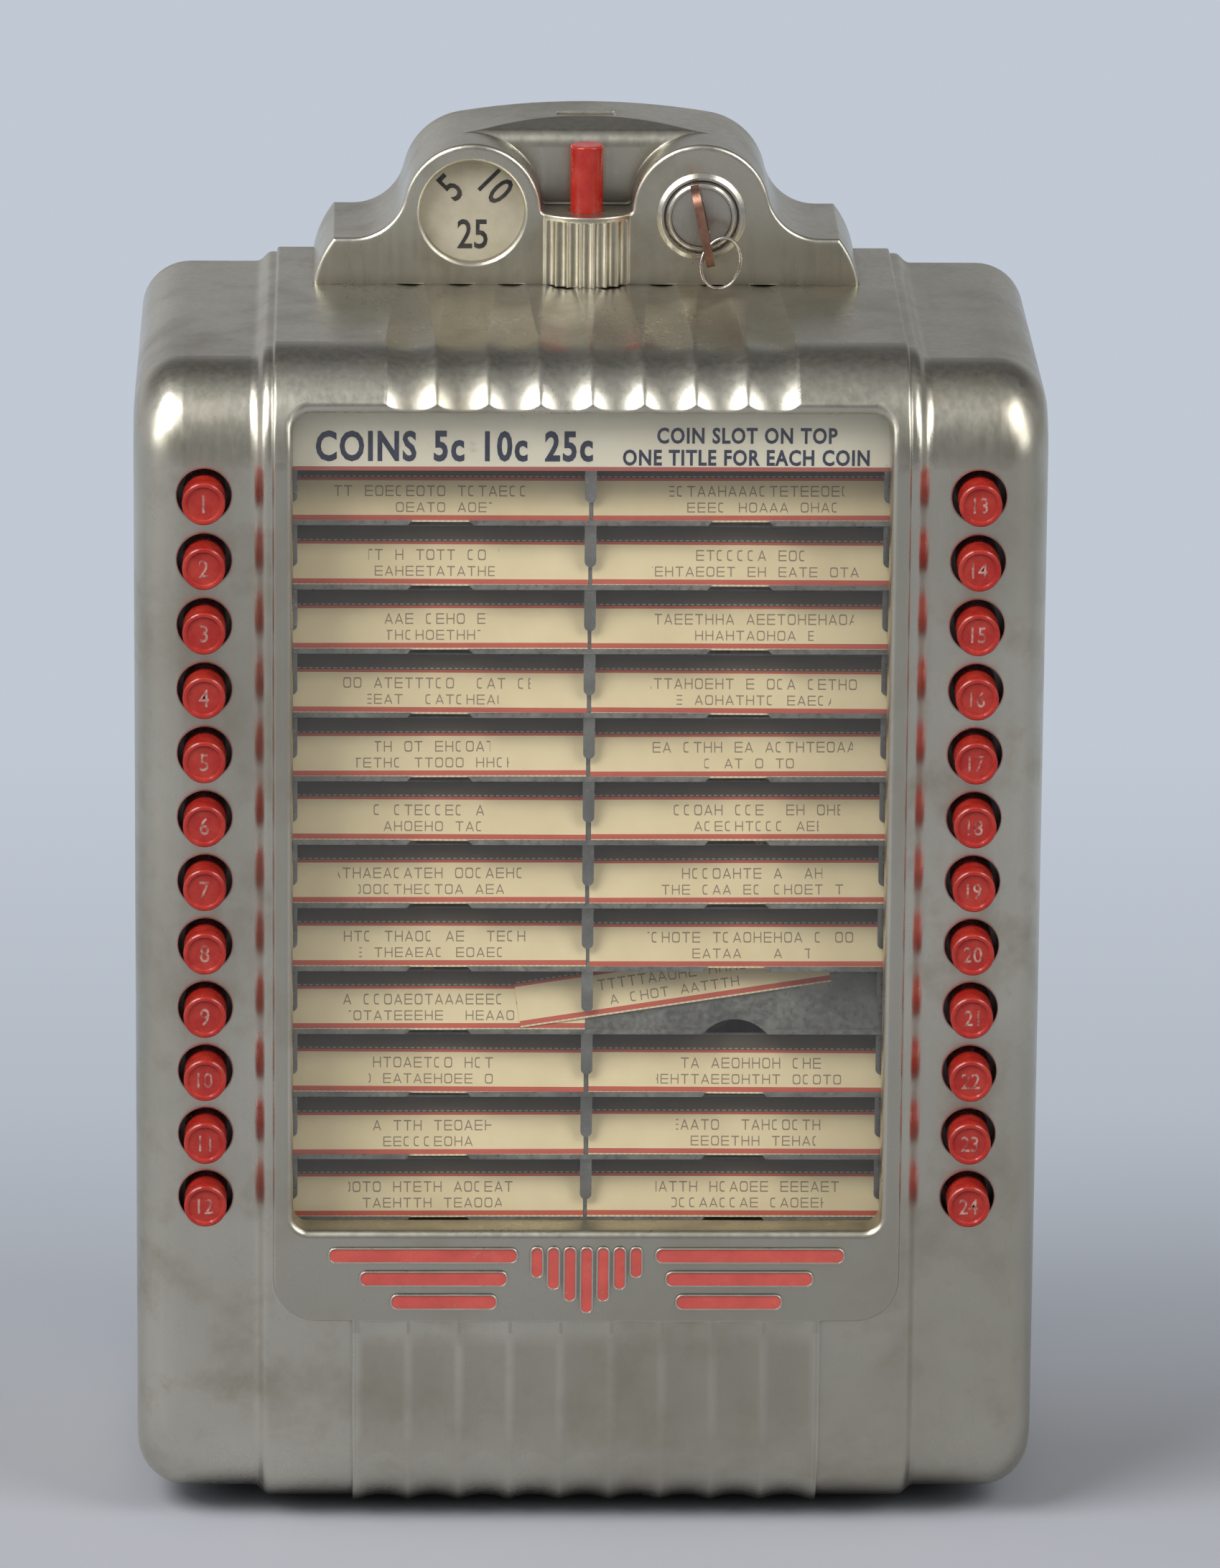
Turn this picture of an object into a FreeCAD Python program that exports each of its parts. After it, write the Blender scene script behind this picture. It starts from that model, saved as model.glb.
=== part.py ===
import FreeCAD, Part
import math
import os
import re
from types import SimpleNamespace

import Sketcher

# Jukebox wall box selector: a plated die-cast cover that slips over a steel chassis.
# Frame: X to the right, Y towards the wall, Z up. The origin is under the middle of the box.

V = FreeCAD.Vector
PAST = 20  # how far a cutting block runs on past the body it cuts, in millimetres
Rule = Sketcher.Constraint
doc = FreeCAD.newDocument("wall_box")
sheet = doc.addObject("Spreadsheet::Sheet", "dims")

# Driving dimensions, millimetres and degrees.
DRIVING = dict(
    # cover casting
    body_depth=122.0, edge_round=22.0, side_round=12.0, wall=3.2, head_margin=9.3,
    band_rise=2.4, band_slope=2.6, band_soft=2.0, band_clear=5.35, cove_round=2.5,
    plaque_rise=1.2, plaque_step=4.5, plaque_round=10.7, edge_soft=0.7, name_tall=22.8,
    flute_pitch=12.3, top_flutes=8, low_flutes=9, flute_depth=1.1, flute_fade=0.8,
    ridge_round=2.0, ridge_sink=0.05, pad_edge=1.2,
    window_border=4.7, window_drop=8.0, window_head=19.475, window_round=4.0, window_lip=1.8,
    # selection rows and buttons
    row_pitch=15.875, rows=12, low_row=83.8, button_hole=13.0,
    cap_diameter=10.2, cap_stand=7.0, cap_drop=0.5, cap_length=15.4, cap_rim=0.9, cap_dish=0.45,
    cap_slope=1.26, cap_edge=0.3,
    stem_width=4.4, stem_length=30.0, clip_diameter=8.4, clip_thick=1.0, button_travel=4.4,
    # window glass, card and retaining frame
    glass_seat=5.0, glass_thick=2.4, glass_lap=3.2, rim_width=10.0, rim_top=4.6, card_lap=1.0,
    screw_diameter=3.0, screw_hole=3.2, screw_grip=4.0,
    frame_thick=1.6, frame_ease=0.5, card_thick=0.5, card_gap=0.1, card_tall=15.2, card_show=1.5,
    head_share=1.8, head_tall=1.5, screw_spare=1.5,
    # crown casting
    cove_reach=21.9, crown_depth=40.0, crown_top=37.0, crown_soft=1.1, foot_tall=11.3,
    foot_in=5.0, cove_sweep=13.0, lobe_gap=55.8, lobe_rise=17.8, lobe_radius=16.9,
    ledge_rise=17.5, scoop_depth=12.3, scoop_root=1.3, roof_drop=2.3, roof_reach=11.0,
    foot_swell=0.7, crown_screw_in=8.0, crown_screw_first=10.0, crown_screw_second=28.0,
    brow_round=4.0, drum_radius=14.2, drum_stand=4.6, drum_ribs=28, rib_radius=1.65, drum_lip=1.3,
    mark_width=14.2, mark_deep=5.4, mark_back=23.4, mark_sink=0.6,
    # coin entry and return
    slot_length=25.5, slot_width=2.4, slot_back=9.7, rod_diameter=8.0, rod_rise=16.4,
    rod_back=4.6, rod_round=0.6, collar_diameter=9.6, collar_thick=2.2, rod_stem=5.0,
    spring_ease=0.3,
    return_width=30.0, return_deep=13.0, return_x=-20.0,
    # dial and lock
    dial_window=25.4, dial_bevel=0.6, dial_lap=0.9, dial_thick=1.2, dial_ledge=2.0,
    lock_drop=0.8, lock_barrel=19.0, lock_rim=21.8, rim_stand=1.5, rim_groove=1.1, rim_step=0.55,
    lock_length=16.0, nut_wall=2.5, nut_thick=3.0, plug_diameter=14.6, plug_stand=0.9,
    cam_length=12.2, cam_width=7.0, cam_square=6.0, cam_thick=2.0,
    key_lean=12.0, key_tall=20.0, key_thick=2.0, key_bow=12.5, key_round=5.2, key_neck=7.2,
    key_blade=12.0, ring_drop=0.24, ring_out=13.5, ring_turn=38.0, ring_diameter=13.4, ring_wire=0.9,
    # chassis
    plate_thick=2.0, sheet_thick=1.5, strip_margin=6.3, frame_drop=23.8, bank_clear=5.7,
    bank_width=16.1, bank_front=13.0, bank_guide=33.0, bank_low=10.0, bank_high=9.0,
    board_back=44.0, stud_diameter=3.0, side_flange=12.0, side_proud=0.5, return_tuck=1.2,
    fit_gap=0.3, slide_gap=0.05, wall_hole=6.5, wall_hole_x=101.6, wall_hole_z=177.8,
    cable_hole=20.0, cable_in=20.5, cable_drop=69.9, bush_wall=3.5, bush_lip=2.5, bush_deep=2.0,
    shelf_in=14.0, shelf_front=56.0, catch_half=8.0, catch_drop=1.2, catch_thick=2.0,
    # coin path behind the cover
    rejector_width=76.0, rejector_tall=112.0, rejector_drop=16.0, rejector_front=2.0,
    rejector_back=12.0, rejector_wall=2.0, ear_tall=60.0, gate_drop=14.0, gate_tall=40.0,
    cash_in=2.0, cash_clear=4.5, cash_front=62.0, cash_back=4.0, cash_tall=62.0, cash_wall=1.2,
    lever_reach=26.0, lever_drop=6.5, lever_half=4.0, lever_thick=2.0, stem_reach=2.3,
    web_half=2.5, web_drop=0.5,
    hub_diameter=7.0, pin_diameter=3.0, cradle_gap=1.0, cradle_thick=2.0,
    # title rack
    strip_long=76.2, strip_tall=14.2, strip_thick=0.3, strip_gap=0.3, rack_lean=18.0, rack_back=11.5,
    rack_drop=9.35, holder_thick=0.8, sheet_over=0.6, hem_tall=0.4, notch_radius=10.2,
    notch_rise=2.9, notch_x_share=0.47, tongue_width=2.8, tongue_thick=0.5, tongue_back=1.1,
    tongue_end=4.5, side_tongue=71.4, header_tall=5.0,
    loose_row=3, loose_tilt=8.5, loose_left=16.0, loose_rise=0.8,
    # selector
    selector_drop=20.0, disc_diameter=100.0, disc_back=47.0, disc_thick=3.0, bridge_half=14.0,
    bridge_thick=2.0, motor_diameter=42.0, motor_length=26.0, gear_deep=10.0,
    shaft_diameter=6.0, shaft_stand=7.0, wiper_reach=44.0, wiper_hub=14.0, wiper_half=3.0,
    wiper_thick=1.2, brush_half=2.0, brush_deep=5.0,
)

# Places that follow from the driving dimensions.
DERIVED = dict(
    rear="(body_depth + cap_stand) / 2",
    face="rear - body_depth",
    base="band_rise + plaque_rise",
    frame_x="strip_long + strip_margin",
    bank_x="frame_x + sheet_thick",
    column_gap="2 * bank_x + bank_width",
    cover_width="2 * (bank_x + bank_width + bank_clear + wall)",
    band_width="column_gap - button_hole - 2 * band_clear",
    plaque_width="band_width - 2 * plaque_step",
    window_width="plaque_width - 2 * window_border",
    window_bottom="low_row - window_drop",
    window_top="low_row + (rows - 1) * row_pitch + window_head",
    plaque_bottom="window_bottom - name_tall",
    panel_top="window_top + head_margin",
    deck="panel_top + base",
    crown_face="rear - crown_depth",
    crown_width="lobe_gap + 2 * (lobe_radius + cove_reach)",
    inside_x="cover_width / 2 - wall",
    inside_low="base + wall",
    inside_high="panel_top - wall",
    glass_back="glass_seat + glass_thick",
    plate_face="rear - plate_thick",
    frame_top="panel_top - edge_round - fit_gap + sqrt((edge_round - wall) ^ 2 - "
              "(edge_round - glass_back) ^ 2)",
    frame_low="low_row - frame_drop",
    frame_high="window_top",
    lobe_x="lobe_gap / 2",
    lobe_z="deck + lobe_rise",
    lock_z="lobe_z - lock_drop",
    rod_y="crown_face + rod_back",
    notch_front="crown_face + slot_back - slide_gap * 10",
    notch_x="lobe_x + lobe_radius + fit_gap * 10",
    floor_z="deck + ledge_rise - wall",
    slot_low="crown_face + slot_back",
    slot_high="slot_low + slot_width",
    coin_half="slot_length / 2 + fit_gap",
    rejector_top="frame_high - rejector_drop",
    rejector_low="rejector_top - rejector_tall",
    rejector_face="crown_face + rejector_front",
    rejector_rear="slot_low + rejector_back",
    lever_y="rod_y - lever_reach",
    lever_z="inside_high - lever_drop",
    disc_y="face + disc_back",
    bridge_y="disc_y + disc_thick",
    motor_y="bridge_y + bridge_thick",
    shaft_y="disc_y - shaft_stand",
    selector_z="(frame_low + frame_high) / 2 - selector_drop",
    return_y="crown_face + slot_back + return_deep / 2",
)


def fill_sheet():
    """Write the driving dimensions and the places that follow from them."""
    for row, (name, value) in enumerate(DRIVING.items(), start=1):
        sheet.set(f"A{row}", name)
        sheet.set(f"B{row}", str(value))
        sheet.setAlias(f"B{row}", name)
    doc.recompute()
    for row, (name, rule) in enumerate(DERIVED.items(), start=len(DRIVING) + 2):
        sheet.set(f"A{row}", name)
        sheet.setAlias(f"B{row}", name)
        sheet.set(f"B{row}", "=" + rule)
        doc.recompute()


fill_sheet()
NAMES = list(DRIVING) + list(DERIVED)
d = SimpleNamespace(**{name: float(sheet.get(name)) for name in NAMES})
WORD = re.compile(r"\b(" + "|".join(sorted(NAMES, key=len, reverse=True)) + r")\b")


def scoped(rule):
    """Turn a rule over sheet names into an expression that other objects can use."""
    return WORD.sub(r"dims.\1", str(rule))


def bind(item, prop, rule):
    item.setExpression(prop, scoped(rule))


parts = {}


def keep(item, label):
    """Mark an object as one finished sub-part of the box."""
    item.Label = label
    parts[label] = item
    return item


# ---------------------------------------------------------------- building blocks


def block(name, x, y, z):
    """A box between two rules along each axis."""
    item = doc.addObject("Part::Box", name)
    for prop, axis, (low, high) in (("Length", "x", x), ("Width", "y", y), ("Height", "z", z)):
        bind(item, prop, f"({high}) - ({low})")
        bind(item, f"Placement.Base.{axis}", low)
    return item


TURNS = {"x": (V(0, 1, 0), 90), "y": (V(1, 0, 0), -90), "z": (V(0, 0, 1), 0)}


def cylinder(name, axis, diameter, low, high, across, up):
    """A cylinder along one axis, from low to high, at two cross places in X, Y, Z order."""
    item = doc.addObject("Part::Cylinder", name)
    item.Placement = FreeCAD.Placement(V(), FreeCAD.Rotation(*TURNS[axis]))
    bind(item, "Radius", f"({diameter}) / 2")
    bind(item, "Height", f"({high}) - ({low})")
    places = {"x": ("y", "z"), "y": ("x", "z"), "z": ("x", "y")}[axis]
    bind(item, f"Placement.Base.{axis}", low)
    bind(item, f"Placement.Base.{places[0]}", across)
    bind(item, f"Placement.Base.{places[1]}", up)
    return item


def turned(name, section, x, y, z):
    """A sketched half section turned round an axis along Y."""
    item = doc.addObject("Part::Revolution", name)
    item.Source = section
    item.Axis = V(0, 1, 0)
    item.Angle = 360
    item.Solid = True
    for axis, rule in (("x", x), ("y", y), ("z", z)):
        bind(item, f"Placement.Base.{axis}", rule)
    return item


def fuse(name, *items):
    item = doc.addObject("Part::MultiFuse", name)
    item.Shapes = list(items)
    return item


def cut(name, base, *tools):
    item = doc.addObject("Part::Cut", name)
    item.Base = base
    item.Tool = tools[0] if len(tools) == 1 else fuse(name + "_tools", *tools)
    return item


def rounded(name, item, radius, test):
    """Round the edges of an object that pass a test."""
    doc.recompute()
    shape = item.Shape
    size = value_of(radius)
    feature = doc.addObject("Part::Fillet", name)
    feature.Base = item
    feature.Edges = [(i, size, size) for i, edge in enumerate(shape.Edges, start=1) if test(edge)]
    return feature


def group(name, *items):
    item = doc.addObject("Part::Compound", name)
    item.Links = list(items)
    return item


def solid(name, shape):
    """An object whose shape is built directly."""
    item = doc.addObject("Part::Feature", name)
    item.Shape = shape
    return item


PLANES = {
    "xz": (FreeCAD.Rotation(V(1, 0, 0), 90), V(0, 1, 0)),
    "yz": (FreeCAD.Rotation(V(1, 1, 1), 120), V(1, 0, 0)),
    "xy": (FreeCAD.Rotation(), V(0, 0, 1)),
}


def outline(name, plane, corners, circles=()):
    """A closed sketch: corners are pairs of rules, circles are (across, up, diameter)."""
    sketch = doc.addObject("Sketcher::SketchObject", name)
    sketch.Placement = FreeCAD.Placement(V(), PLANES[plane][0])
    doc.recompute()
    starts = [V(value_of(u), value_of(w), 0) for u, w in corners]
    for i, start in enumerate(starts):
        sketch.addGeometry(Part.LineSegment(start, starts[(i + 1) % len(starts)]), False)
    for i in range(len(starts)):
        sketch.addConstraint(Rule("Coincident", i, 2, (i + 1) % len(starts), 1))
    for i, (u, w) in enumerate(corners):
        for kind, rule in (("DistanceX", u), ("DistanceY", w)):
            index = sketch.addConstraint(Rule(kind, -1, 1, i, 1, value_of(rule)))
            bind(sketch, f"Constraints[{index}]", rule)
    for across, up, diameter in circles:
        place = V(value_of(across), value_of(up), 0)
        geo = sketch.addGeometry(Part.Circle(place, V(0, 0, 1), value_of(diameter) / 2), False)
        for kind, rule in (("DistanceX", across), ("DistanceY", up)):
            index = sketch.addConstraint(Rule(kind, -1, 1, geo, 3, value_of(rule)))
            bind(sketch, f"Constraints[{index}]", rule)
        index = sketch.addConstraint(Rule("Diameter", geo, value_of(diameter)))
        bind(sketch, f"Constraints[{index}]", diameter)
    return sketch


def value_of(rule):
    """The present value of a rule over sheet names."""
    found = doc.getObject("dims").evalExpression(str(rule))
    return float(getattr(found, "Value", found))


def extrude(name, sketch, plane, low, high):
    """Push a sketch out along its plane's axis, between two rules."""
    item = doc.addObject("Part::Extrusion", name)
    item.Base = sketch
    item.DirMode = "Custom"
    item.Dir = PLANES[plane][1]
    item.Solid = True
    bind(item, "LengthFwd", high)
    bind(item, "LengthRev", f"-({low})")
    return item


# ---------------------------------------------------------------- direct shapes


def arc(start, middle, end):
    return Part.Arc(start, middle, end).toShape()


def line(start, end):
    return Part.makeLine(start, end)


def prism(wire, direction):
    """The solid that a closed wire sweeps along a direction."""
    return Part.Face(Part.Wire(wire)).extrude(direction)


def brick(x, y, z):
    return Part.makeBox(x[1] - x[0], y[1] - y[0], z[1] - z[0], V(x[0], y[0], z[0]))


def rod(diameter, start, end):
    """A plain cylinder between two points."""
    axis = end.sub(start)
    return Part.makeCylinder(diameter / 2, axis.Length, start, axis)


def edges_where(shape, test):
    return [edge for edge in shape.Edges if test(edge)]


def middle(edge):
    return edge.valueAt((edge.FirstParameter + edge.LastParameter) / 2)


def close(a, b, limit=1e-4):
    return abs(a - b) < limit


def side_outline(level):
    """Cover side view at a height above the panels: top, two round corners and underside."""
    radius = d.edge_round + level
    back = d.face + d.edge_round
    top, low = d.panel_top - d.edge_round, d.base + d.edge_round
    half = radius * math.sqrt(0.5)
    marks = [
        V(0, d.rear, top + radius), V(0, back, top + radius), V(0, back - half, top + half),
        V(0, back - radius, top), V(0, back - radius, low), V(0, back - half, low - half),
        V(0, back, low - radius), V(0, d.rear, low - radius),
    ]
    return [
        line(marks[0], marks[1]), arc(*marks[1:4]), line(marks[3], marks[4]),
        arc(*marks[4:7]), line(marks[6], marks[7]),
    ]


def slab(level, half_width):
    """The cover's side view at one level, as wide as asked."""
    path = side_outline(level)
    closing = line(path[-1].Vertexes[-1].Point, path[0].Vertexes[0].Point)
    shape = prism(path + [closing], V(2 * half_width, 0, 0))
    shape.translate(V(-half_width, 0, 0))
    return shape


def rim_edges(shape, half_width):
    """Edges round both side faces of a slab, without those on the wall plane."""
    return edges_where(shape, lambda e: close(abs(middle(e).x), half_width)
                       and not close(middle(e).y, d.rear))


def panel_block():
    """The two side panels' rounded block."""
    half = d.cover_width / 2
    block_ = slab(0, half)
    return block_.makeFillet(d.side_round, rim_edges(block_, half))


def band_block():
    """The centre band that stands proud of the side panels all the way round."""
    half = d.band_width / 2
    block_ = slab(d.band_rise, half)
    block_ = block_.makeChamfer(d.band_slope, rim_edges(block_, half))
    return block_.makeFillet(d.band_soft, rim_edges(block_, half - d.band_slope))


def rounded_rectangle(x, z, corner, y, depth, sharp_top=False):
    """A prism along Y with rounded corners in the front view."""
    box = brick(x, (y, y + depth), z)
    upright = edges_where(box, lambda e: close(middle(e).y, y + depth / 2))
    if sharp_top:
        upright = [edge for edge in upright if close(middle(edge).z, z[0])]
    return box.makeFillet(corner, upright)


def plaque_block():
    """The raised front that frames the window and runs back over the top."""
    half = d.plaque_width / 2
    block_ = slab(d.band_rise + d.plaque_rise, half)
    front = d.face - d.base - 1
    mask = rounded_rectangle((-half, half), (d.plaque_bottom, d.deck + 1), d.plaque_round,
                             front, d.body_depth + PAST, sharp_top=True)
    block_ = block_.common(mask)
    skin = d.face - d.base

    def on_border(edge):
        spot = middle(edge)
        if close(spot.y, d.rear):
            return False
        side = close(abs(spot.x), half) and spot.z > d.plaque_bottom + d.plaque_round
        foot = close(spot.y, skin) and spot.z < d.plaque_bottom + d.plaque_round
        return side and (spot.y < d.face or spot.z > d.panel_top - d.edge_round) or foot
    return block_.makeFillet(d.edge_soft, edges_where(block_, on_border))


def low_pad():
    """The low block under the plaque that the bottom flutes are cut in."""
    half = d.low_flutes * d.flute_pitch / 2 + d.pad_edge
    block_ = slab(d.base, half)
    mask = brick((-half, half), (d.face - PAST, d.rear), (-1, d.plaque_bottom + d.edge_soft * 3))
    return block_.common(mask)


def flute_cutter(count, path, up):
    """Concave flutes side by side, with round ridges between, along part of the side outline."""
    origin = path[0].Vertexes[0].Point
    half, ridge = d.flute_pitch / 2, d.ridge_round
    slope = 2 * math.atan(d.flute_depth / half)
    side, drop = ridge * math.sin(slope), ridge * (1 - math.cos(slope))

    def spot(across, down):
        return origin + V(across, 0, 0) - up * (down + d.ridge_sink)
    left = -count * half
    near, low = ridge * math.sin(slope / 2), ridge * (1 - math.cos(slope / 2))
    edges = [arc(spot(left, 0), spot(left + near, low), spot(left + side, drop))]
    for number in range(int(count)):
        crest = left + number * d.flute_pitch
        following = crest + d.flute_pitch
        edges.append(arc(spot(crest + side, drop), spot(crest + half, d.flute_depth),
                         spot(following - side, drop)))
        if number < count - 1:
            edges.append(arc(spot(following - side, drop), spot(following, 0),
                             spot(following + side, drop)))
    edges.append(arc(spot(-left - side, drop), spot(-left - near, low), spot(-left, 0)))
    lift = up * (d.flute_depth * 4)
    right_high, left_high = spot(-left, 0) + lift, spot(left, 0) + lift
    edges += [line(spot(-left, 0), right_high), line(right_high, left_high),
              line(left_high, spot(left, 0))]
    return Part.Wire(path).makePipeShell([Part.Wire(edges)], True, False)


def top_flutes():
    """Flutes that rise out of the deck under the crown and run over the top edge to the window."""
    top, curve, front = side_outline(d.base)[:3]
    back = V(0, d.crown_face + d.wall, d.deck + d.flute_fade)
    below = V(0, d.face - d.base, d.window_top - d.window_lip * 4)
    below.z = min(below.z, d.panel_top - d.edge_round - 1)
    path = [line(back, top.Vertexes[-1].Point), curve, line(curve.Vertexes[-1].Point, below)]
    return flute_cutter(d.top_flutes, path, V(0, 0, 1))


def low_flutes():
    """Flutes from the plaque's lower edge, down and under to the wall plane."""
    front, curve, under = side_outline(d.base)[2:]
    above = V(0, d.face - d.base, d.plaque_bottom)
    path = [line(above, front.Vertexes[-1].Point), curve, under]
    return flute_cutter(d.low_flutes, path, V(0, -1, 0))


def window_prism(grow, y, depth):
    """The window's outline, grown all round, pushed back from a depth."""
    half = d.window_width / 2 + grow
    low, high = d.window_bottom - grow, d.window_top + grow
    return rounded_rectangle((-half, half), (low, high), d.window_round + max(grow, 0), y, depth)


def cavity():
    """The cover's open inside, less the thick rim that the window glass seats in."""
    inset = d.wall
    back = d.face + d.edge_round
    radius = d.edge_round - inset
    core = brick((-d.inside_x, d.inside_x), (d.face + inset, d.rear + 1),
                 (d.inside_low, d.inside_high))
    long_edges = edges_where(core, lambda e: close(middle(e).y, d.face + inset)
                             and close(middle(e).x, 0))
    core = core.makeFillet(radius, long_edges)
    sides = edges_where(core, lambda e: close(abs(middle(e).x), d.inside_x)
                        and middle(e).y < d.rear + 0.5)
    core = core.makeFillet(d.side_round - inset, sides)
    half = d.window_width / 2 + d.rim_width
    rim = brick((-half, half), (d.face, d.face + d.glass_back),
                (d.window_bottom - d.rim_width, d.window_top + d.rim_top))
    return core.cut(rim)


def soften_roots(shape):
    """A small cove where the band's sides rise out of the side panels."""
    half = d.band_width / 2 - (d.band_slope - d.band_rise)
    levels = {"front": d.face, "top": d.panel_top, "under": d.base}

    def at_root(edge):
        spot = middle(edge)
        if not close(abs(spot.x), half) or close(spot.y, d.rear):
            return False
        ends = [vertex.Point for vertex in edge.Vertexes]
        flat = all(close(p.y, levels["front"]) or close(p.z, levels["top"])
                   or close(p.z, levels["under"]) for p in ends)
        return flat
    return shape.makeFillet(d.cove_round, edges_where(shape, at_root))


def soften_window(shape):
    """The rolled lip round the window opening."""
    half = d.window_width / 2
    low, high = d.window_bottom, d.window_top
    inner = d.face + d.glass_seat - d.edge_soft

    def on_lip(edge):
        spot = middle(edge)
        across = abs(spot.x) < half + 0.01 and low - 0.01 < spot.z < high + 0.01
        return across and spot.y < inner and edge.BoundBox.YLength < edge.Length * 0.9
    return shape.makeFillet(d.window_lip, edges_where(shape, on_lip))


def row_heights():
    return [d.low_row + row * d.row_pitch for row in range(int(d.rows))]


def button_holes():
    holes = []
    for side in (-1, 1):
        for height in row_heights():
            start = V(side * d.column_gap / 2, d.face - 1, height)
            holes.append(rod(d.button_hole, start, start + V(0, d.wall * 3, 0)))
    return holes


def deck_openings():
    """The notch under the crown, the rod's hole and the coin return in the underside."""
    deep = d.deck - d.inside_high + 2
    notch = brick((-d.notch_x, d.notch_x), (d.notch_front, d.rear + 1),
                  (d.inside_high - 1, d.inside_high - 1 + deep))
    stem = rod(d.rod_stem + 1, V(0, d.rod_y, d.inside_high - 1), V(0, d.rod_y, d.deck + 1))
    half = d.return_width / 2
    exit_ = brick((d.return_x - half, d.return_x + half),
                  (d.return_y - d.return_deep / 2, d.return_y + d.return_deep / 2),
                  (-1, d.inside_low + 1))
    return [notch, stem, exit_]


def cover_shape():
    """The whole cover casting."""
    shape = soften_roots(panel_block().fuse(band_block()))
    shape = shape.fuse([plaque_block(), low_pad()]).removeSplitter()
    shape = shape.cut(window_prism(0, d.face - PAST, PAST + d.glass_back + 1))
    shape = soften_window(shape)
    shape = shape.cut([top_flutes(), low_flutes()])
    seat = window_prism(d.glass_lap, d.face + d.glass_seat, d.glass_thick + 1)
    shape = shape.cut([cavity(), seat] + button_holes() + deck_openings()
                      + crown_screw_holes() + frame_screw_holes())
    return shape.removeSplitter()


# ---------------------------------------------------------------- crown casting


def dome_round(inset):
    """The radius of the crown's top arc, which touches both lobes."""
    lobe_r, top_rise = d.lobe_radius - inset, d.crown_top - d.lobe_rise - inset
    return ((d.lobe_gap / 2) ** 2 + top_rise ** 2 - lobe_r ** 2) / (2 * (top_rise - lobe_r))


def hump_crest(inset=0):
    """Where the top arc touches the right lobe."""
    lobe = V(d.lobe_gap / 2, 0, d.lobe_z)
    dome = V(0, 0, d.deck + d.crown_top - inset - dome_round(inset))
    return lobe + (lobe - dome).normalize() * (d.lobe_radius - inset)


def hump_wire(inset, feet):
    """Front view of the crown, drawn inside its outer skin by an inset."""
    lobe_r = d.lobe_radius - inset
    lobe = V(d.lobe_gap / 2, 0, d.lobe_z)
    crest = hump_crest(inset)
    out = (crest - lobe).normalize()
    summit = V(0, 0, d.deck + d.crown_top - inset)
    if feet:
        sweep = d.cove_sweep + inset
        foot_z = d.deck + d.foot_tall
        reach = math.sqrt((sweep + lobe_r) ** 2 - (foot_z + sweep - d.lobe_z) ** 2)
        cove = V(lobe.x + reach, 0, foot_z + sweep)
        away = (cove - lobe).normalize()
        join = lobe + away * lobe_r
        low = cove - V(0, 0, sweep)
        bend = cove - (away + V(0, 0, 1)).normalize() * sweep
        heel = V(d.crown_width / 2 - d.foot_in, 0, foot_z)
        toe = V(d.crown_width / 2, 0, d.deck)
        swell = (heel + toe) * 0.5 + V(d.foot_swell, 0, d.foot_swell / 2)
        side = [arc(toe, swell, heel), line(heel, low), arc(low, bend, join)]
        start = (away + out).normalize()
        side.append(arc(join, lobe + start * lobe_r, crest))
        bottom = toe
    else:
        bottom = V(lobe.x + lobe_r, 0, d.deck - 1)
        turn = V(lobe.x + lobe_r, 0, d.lobe_z)
        way = (V(1, 0, 0) + out).normalize()
        side = [line(bottom, turn), arc(turn, lobe + way * lobe_r, crest)]
    other = [edge.mirror(V(), V(1, 0, 0)) for edge in side]
    left_crest = V(-crest.x, 0, crest.z)
    closing = line(V(-bottom.x, 0, bottom.z), bottom)
    return Part.Wire(Part.sortEdges(side + [arc(crest, summit, left_crest)] + other + [closing])[0])


def hump(inset, feet, start, end):
    wire = hump_wire(inset, feet)
    shape = Part.Face(wire).extrude(V(0, end - start, 0))
    shape.translate(V(0, start, 0))
    return shape


def scoop_front():
    """The hollow between the lobes, seen from the front: it follows both lobes to their tops."""
    ledge = d.deck + d.ledge_rise
    lobe = V(d.lobe_gap / 2, 0, d.lobe_z)
    rise = math.asin((ledge - d.lobe_z) / d.lobe_radius)
    low = lobe + V(-math.cos(rise), 0, math.sin(rise)) * d.lobe_radius
    crest = hump_crest()
    lean = math.atan2(crest.z - lobe.z, lobe.x - crest.x)
    half_way = (rise + lean) / 2
    bulge = lobe + V(-math.cos(half_way), 0, math.sin(half_way)) * d.lobe_radius
    high = V(crest.x, 0, d.deck + d.crown_top + 5)
    side = [arc(low, bulge, crest), line(crest, high)]
    other = [edge.mirror(V(), V(1, 0, 0)) for edge in side]
    across = [line(V(-low.x, 0, ledge), low), line(high, V(-high.x, 0, high.z))]
    wire = Part.Wire(Part.sortEdges(side + other + across)[0])
    shape = Part.Face(wire).extrude(V(0, d.crown_depth + PAST, 0))
    shape.translate(V(0, d.crown_face - PAST / 2, 0))

    def at_root(edge):
        return edge.BoundBox.YLength > 20 and close(middle(edge).z, ledge)
    return shape.makeFillet(d.scoop_root, edges_where(shape, at_root))


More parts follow.
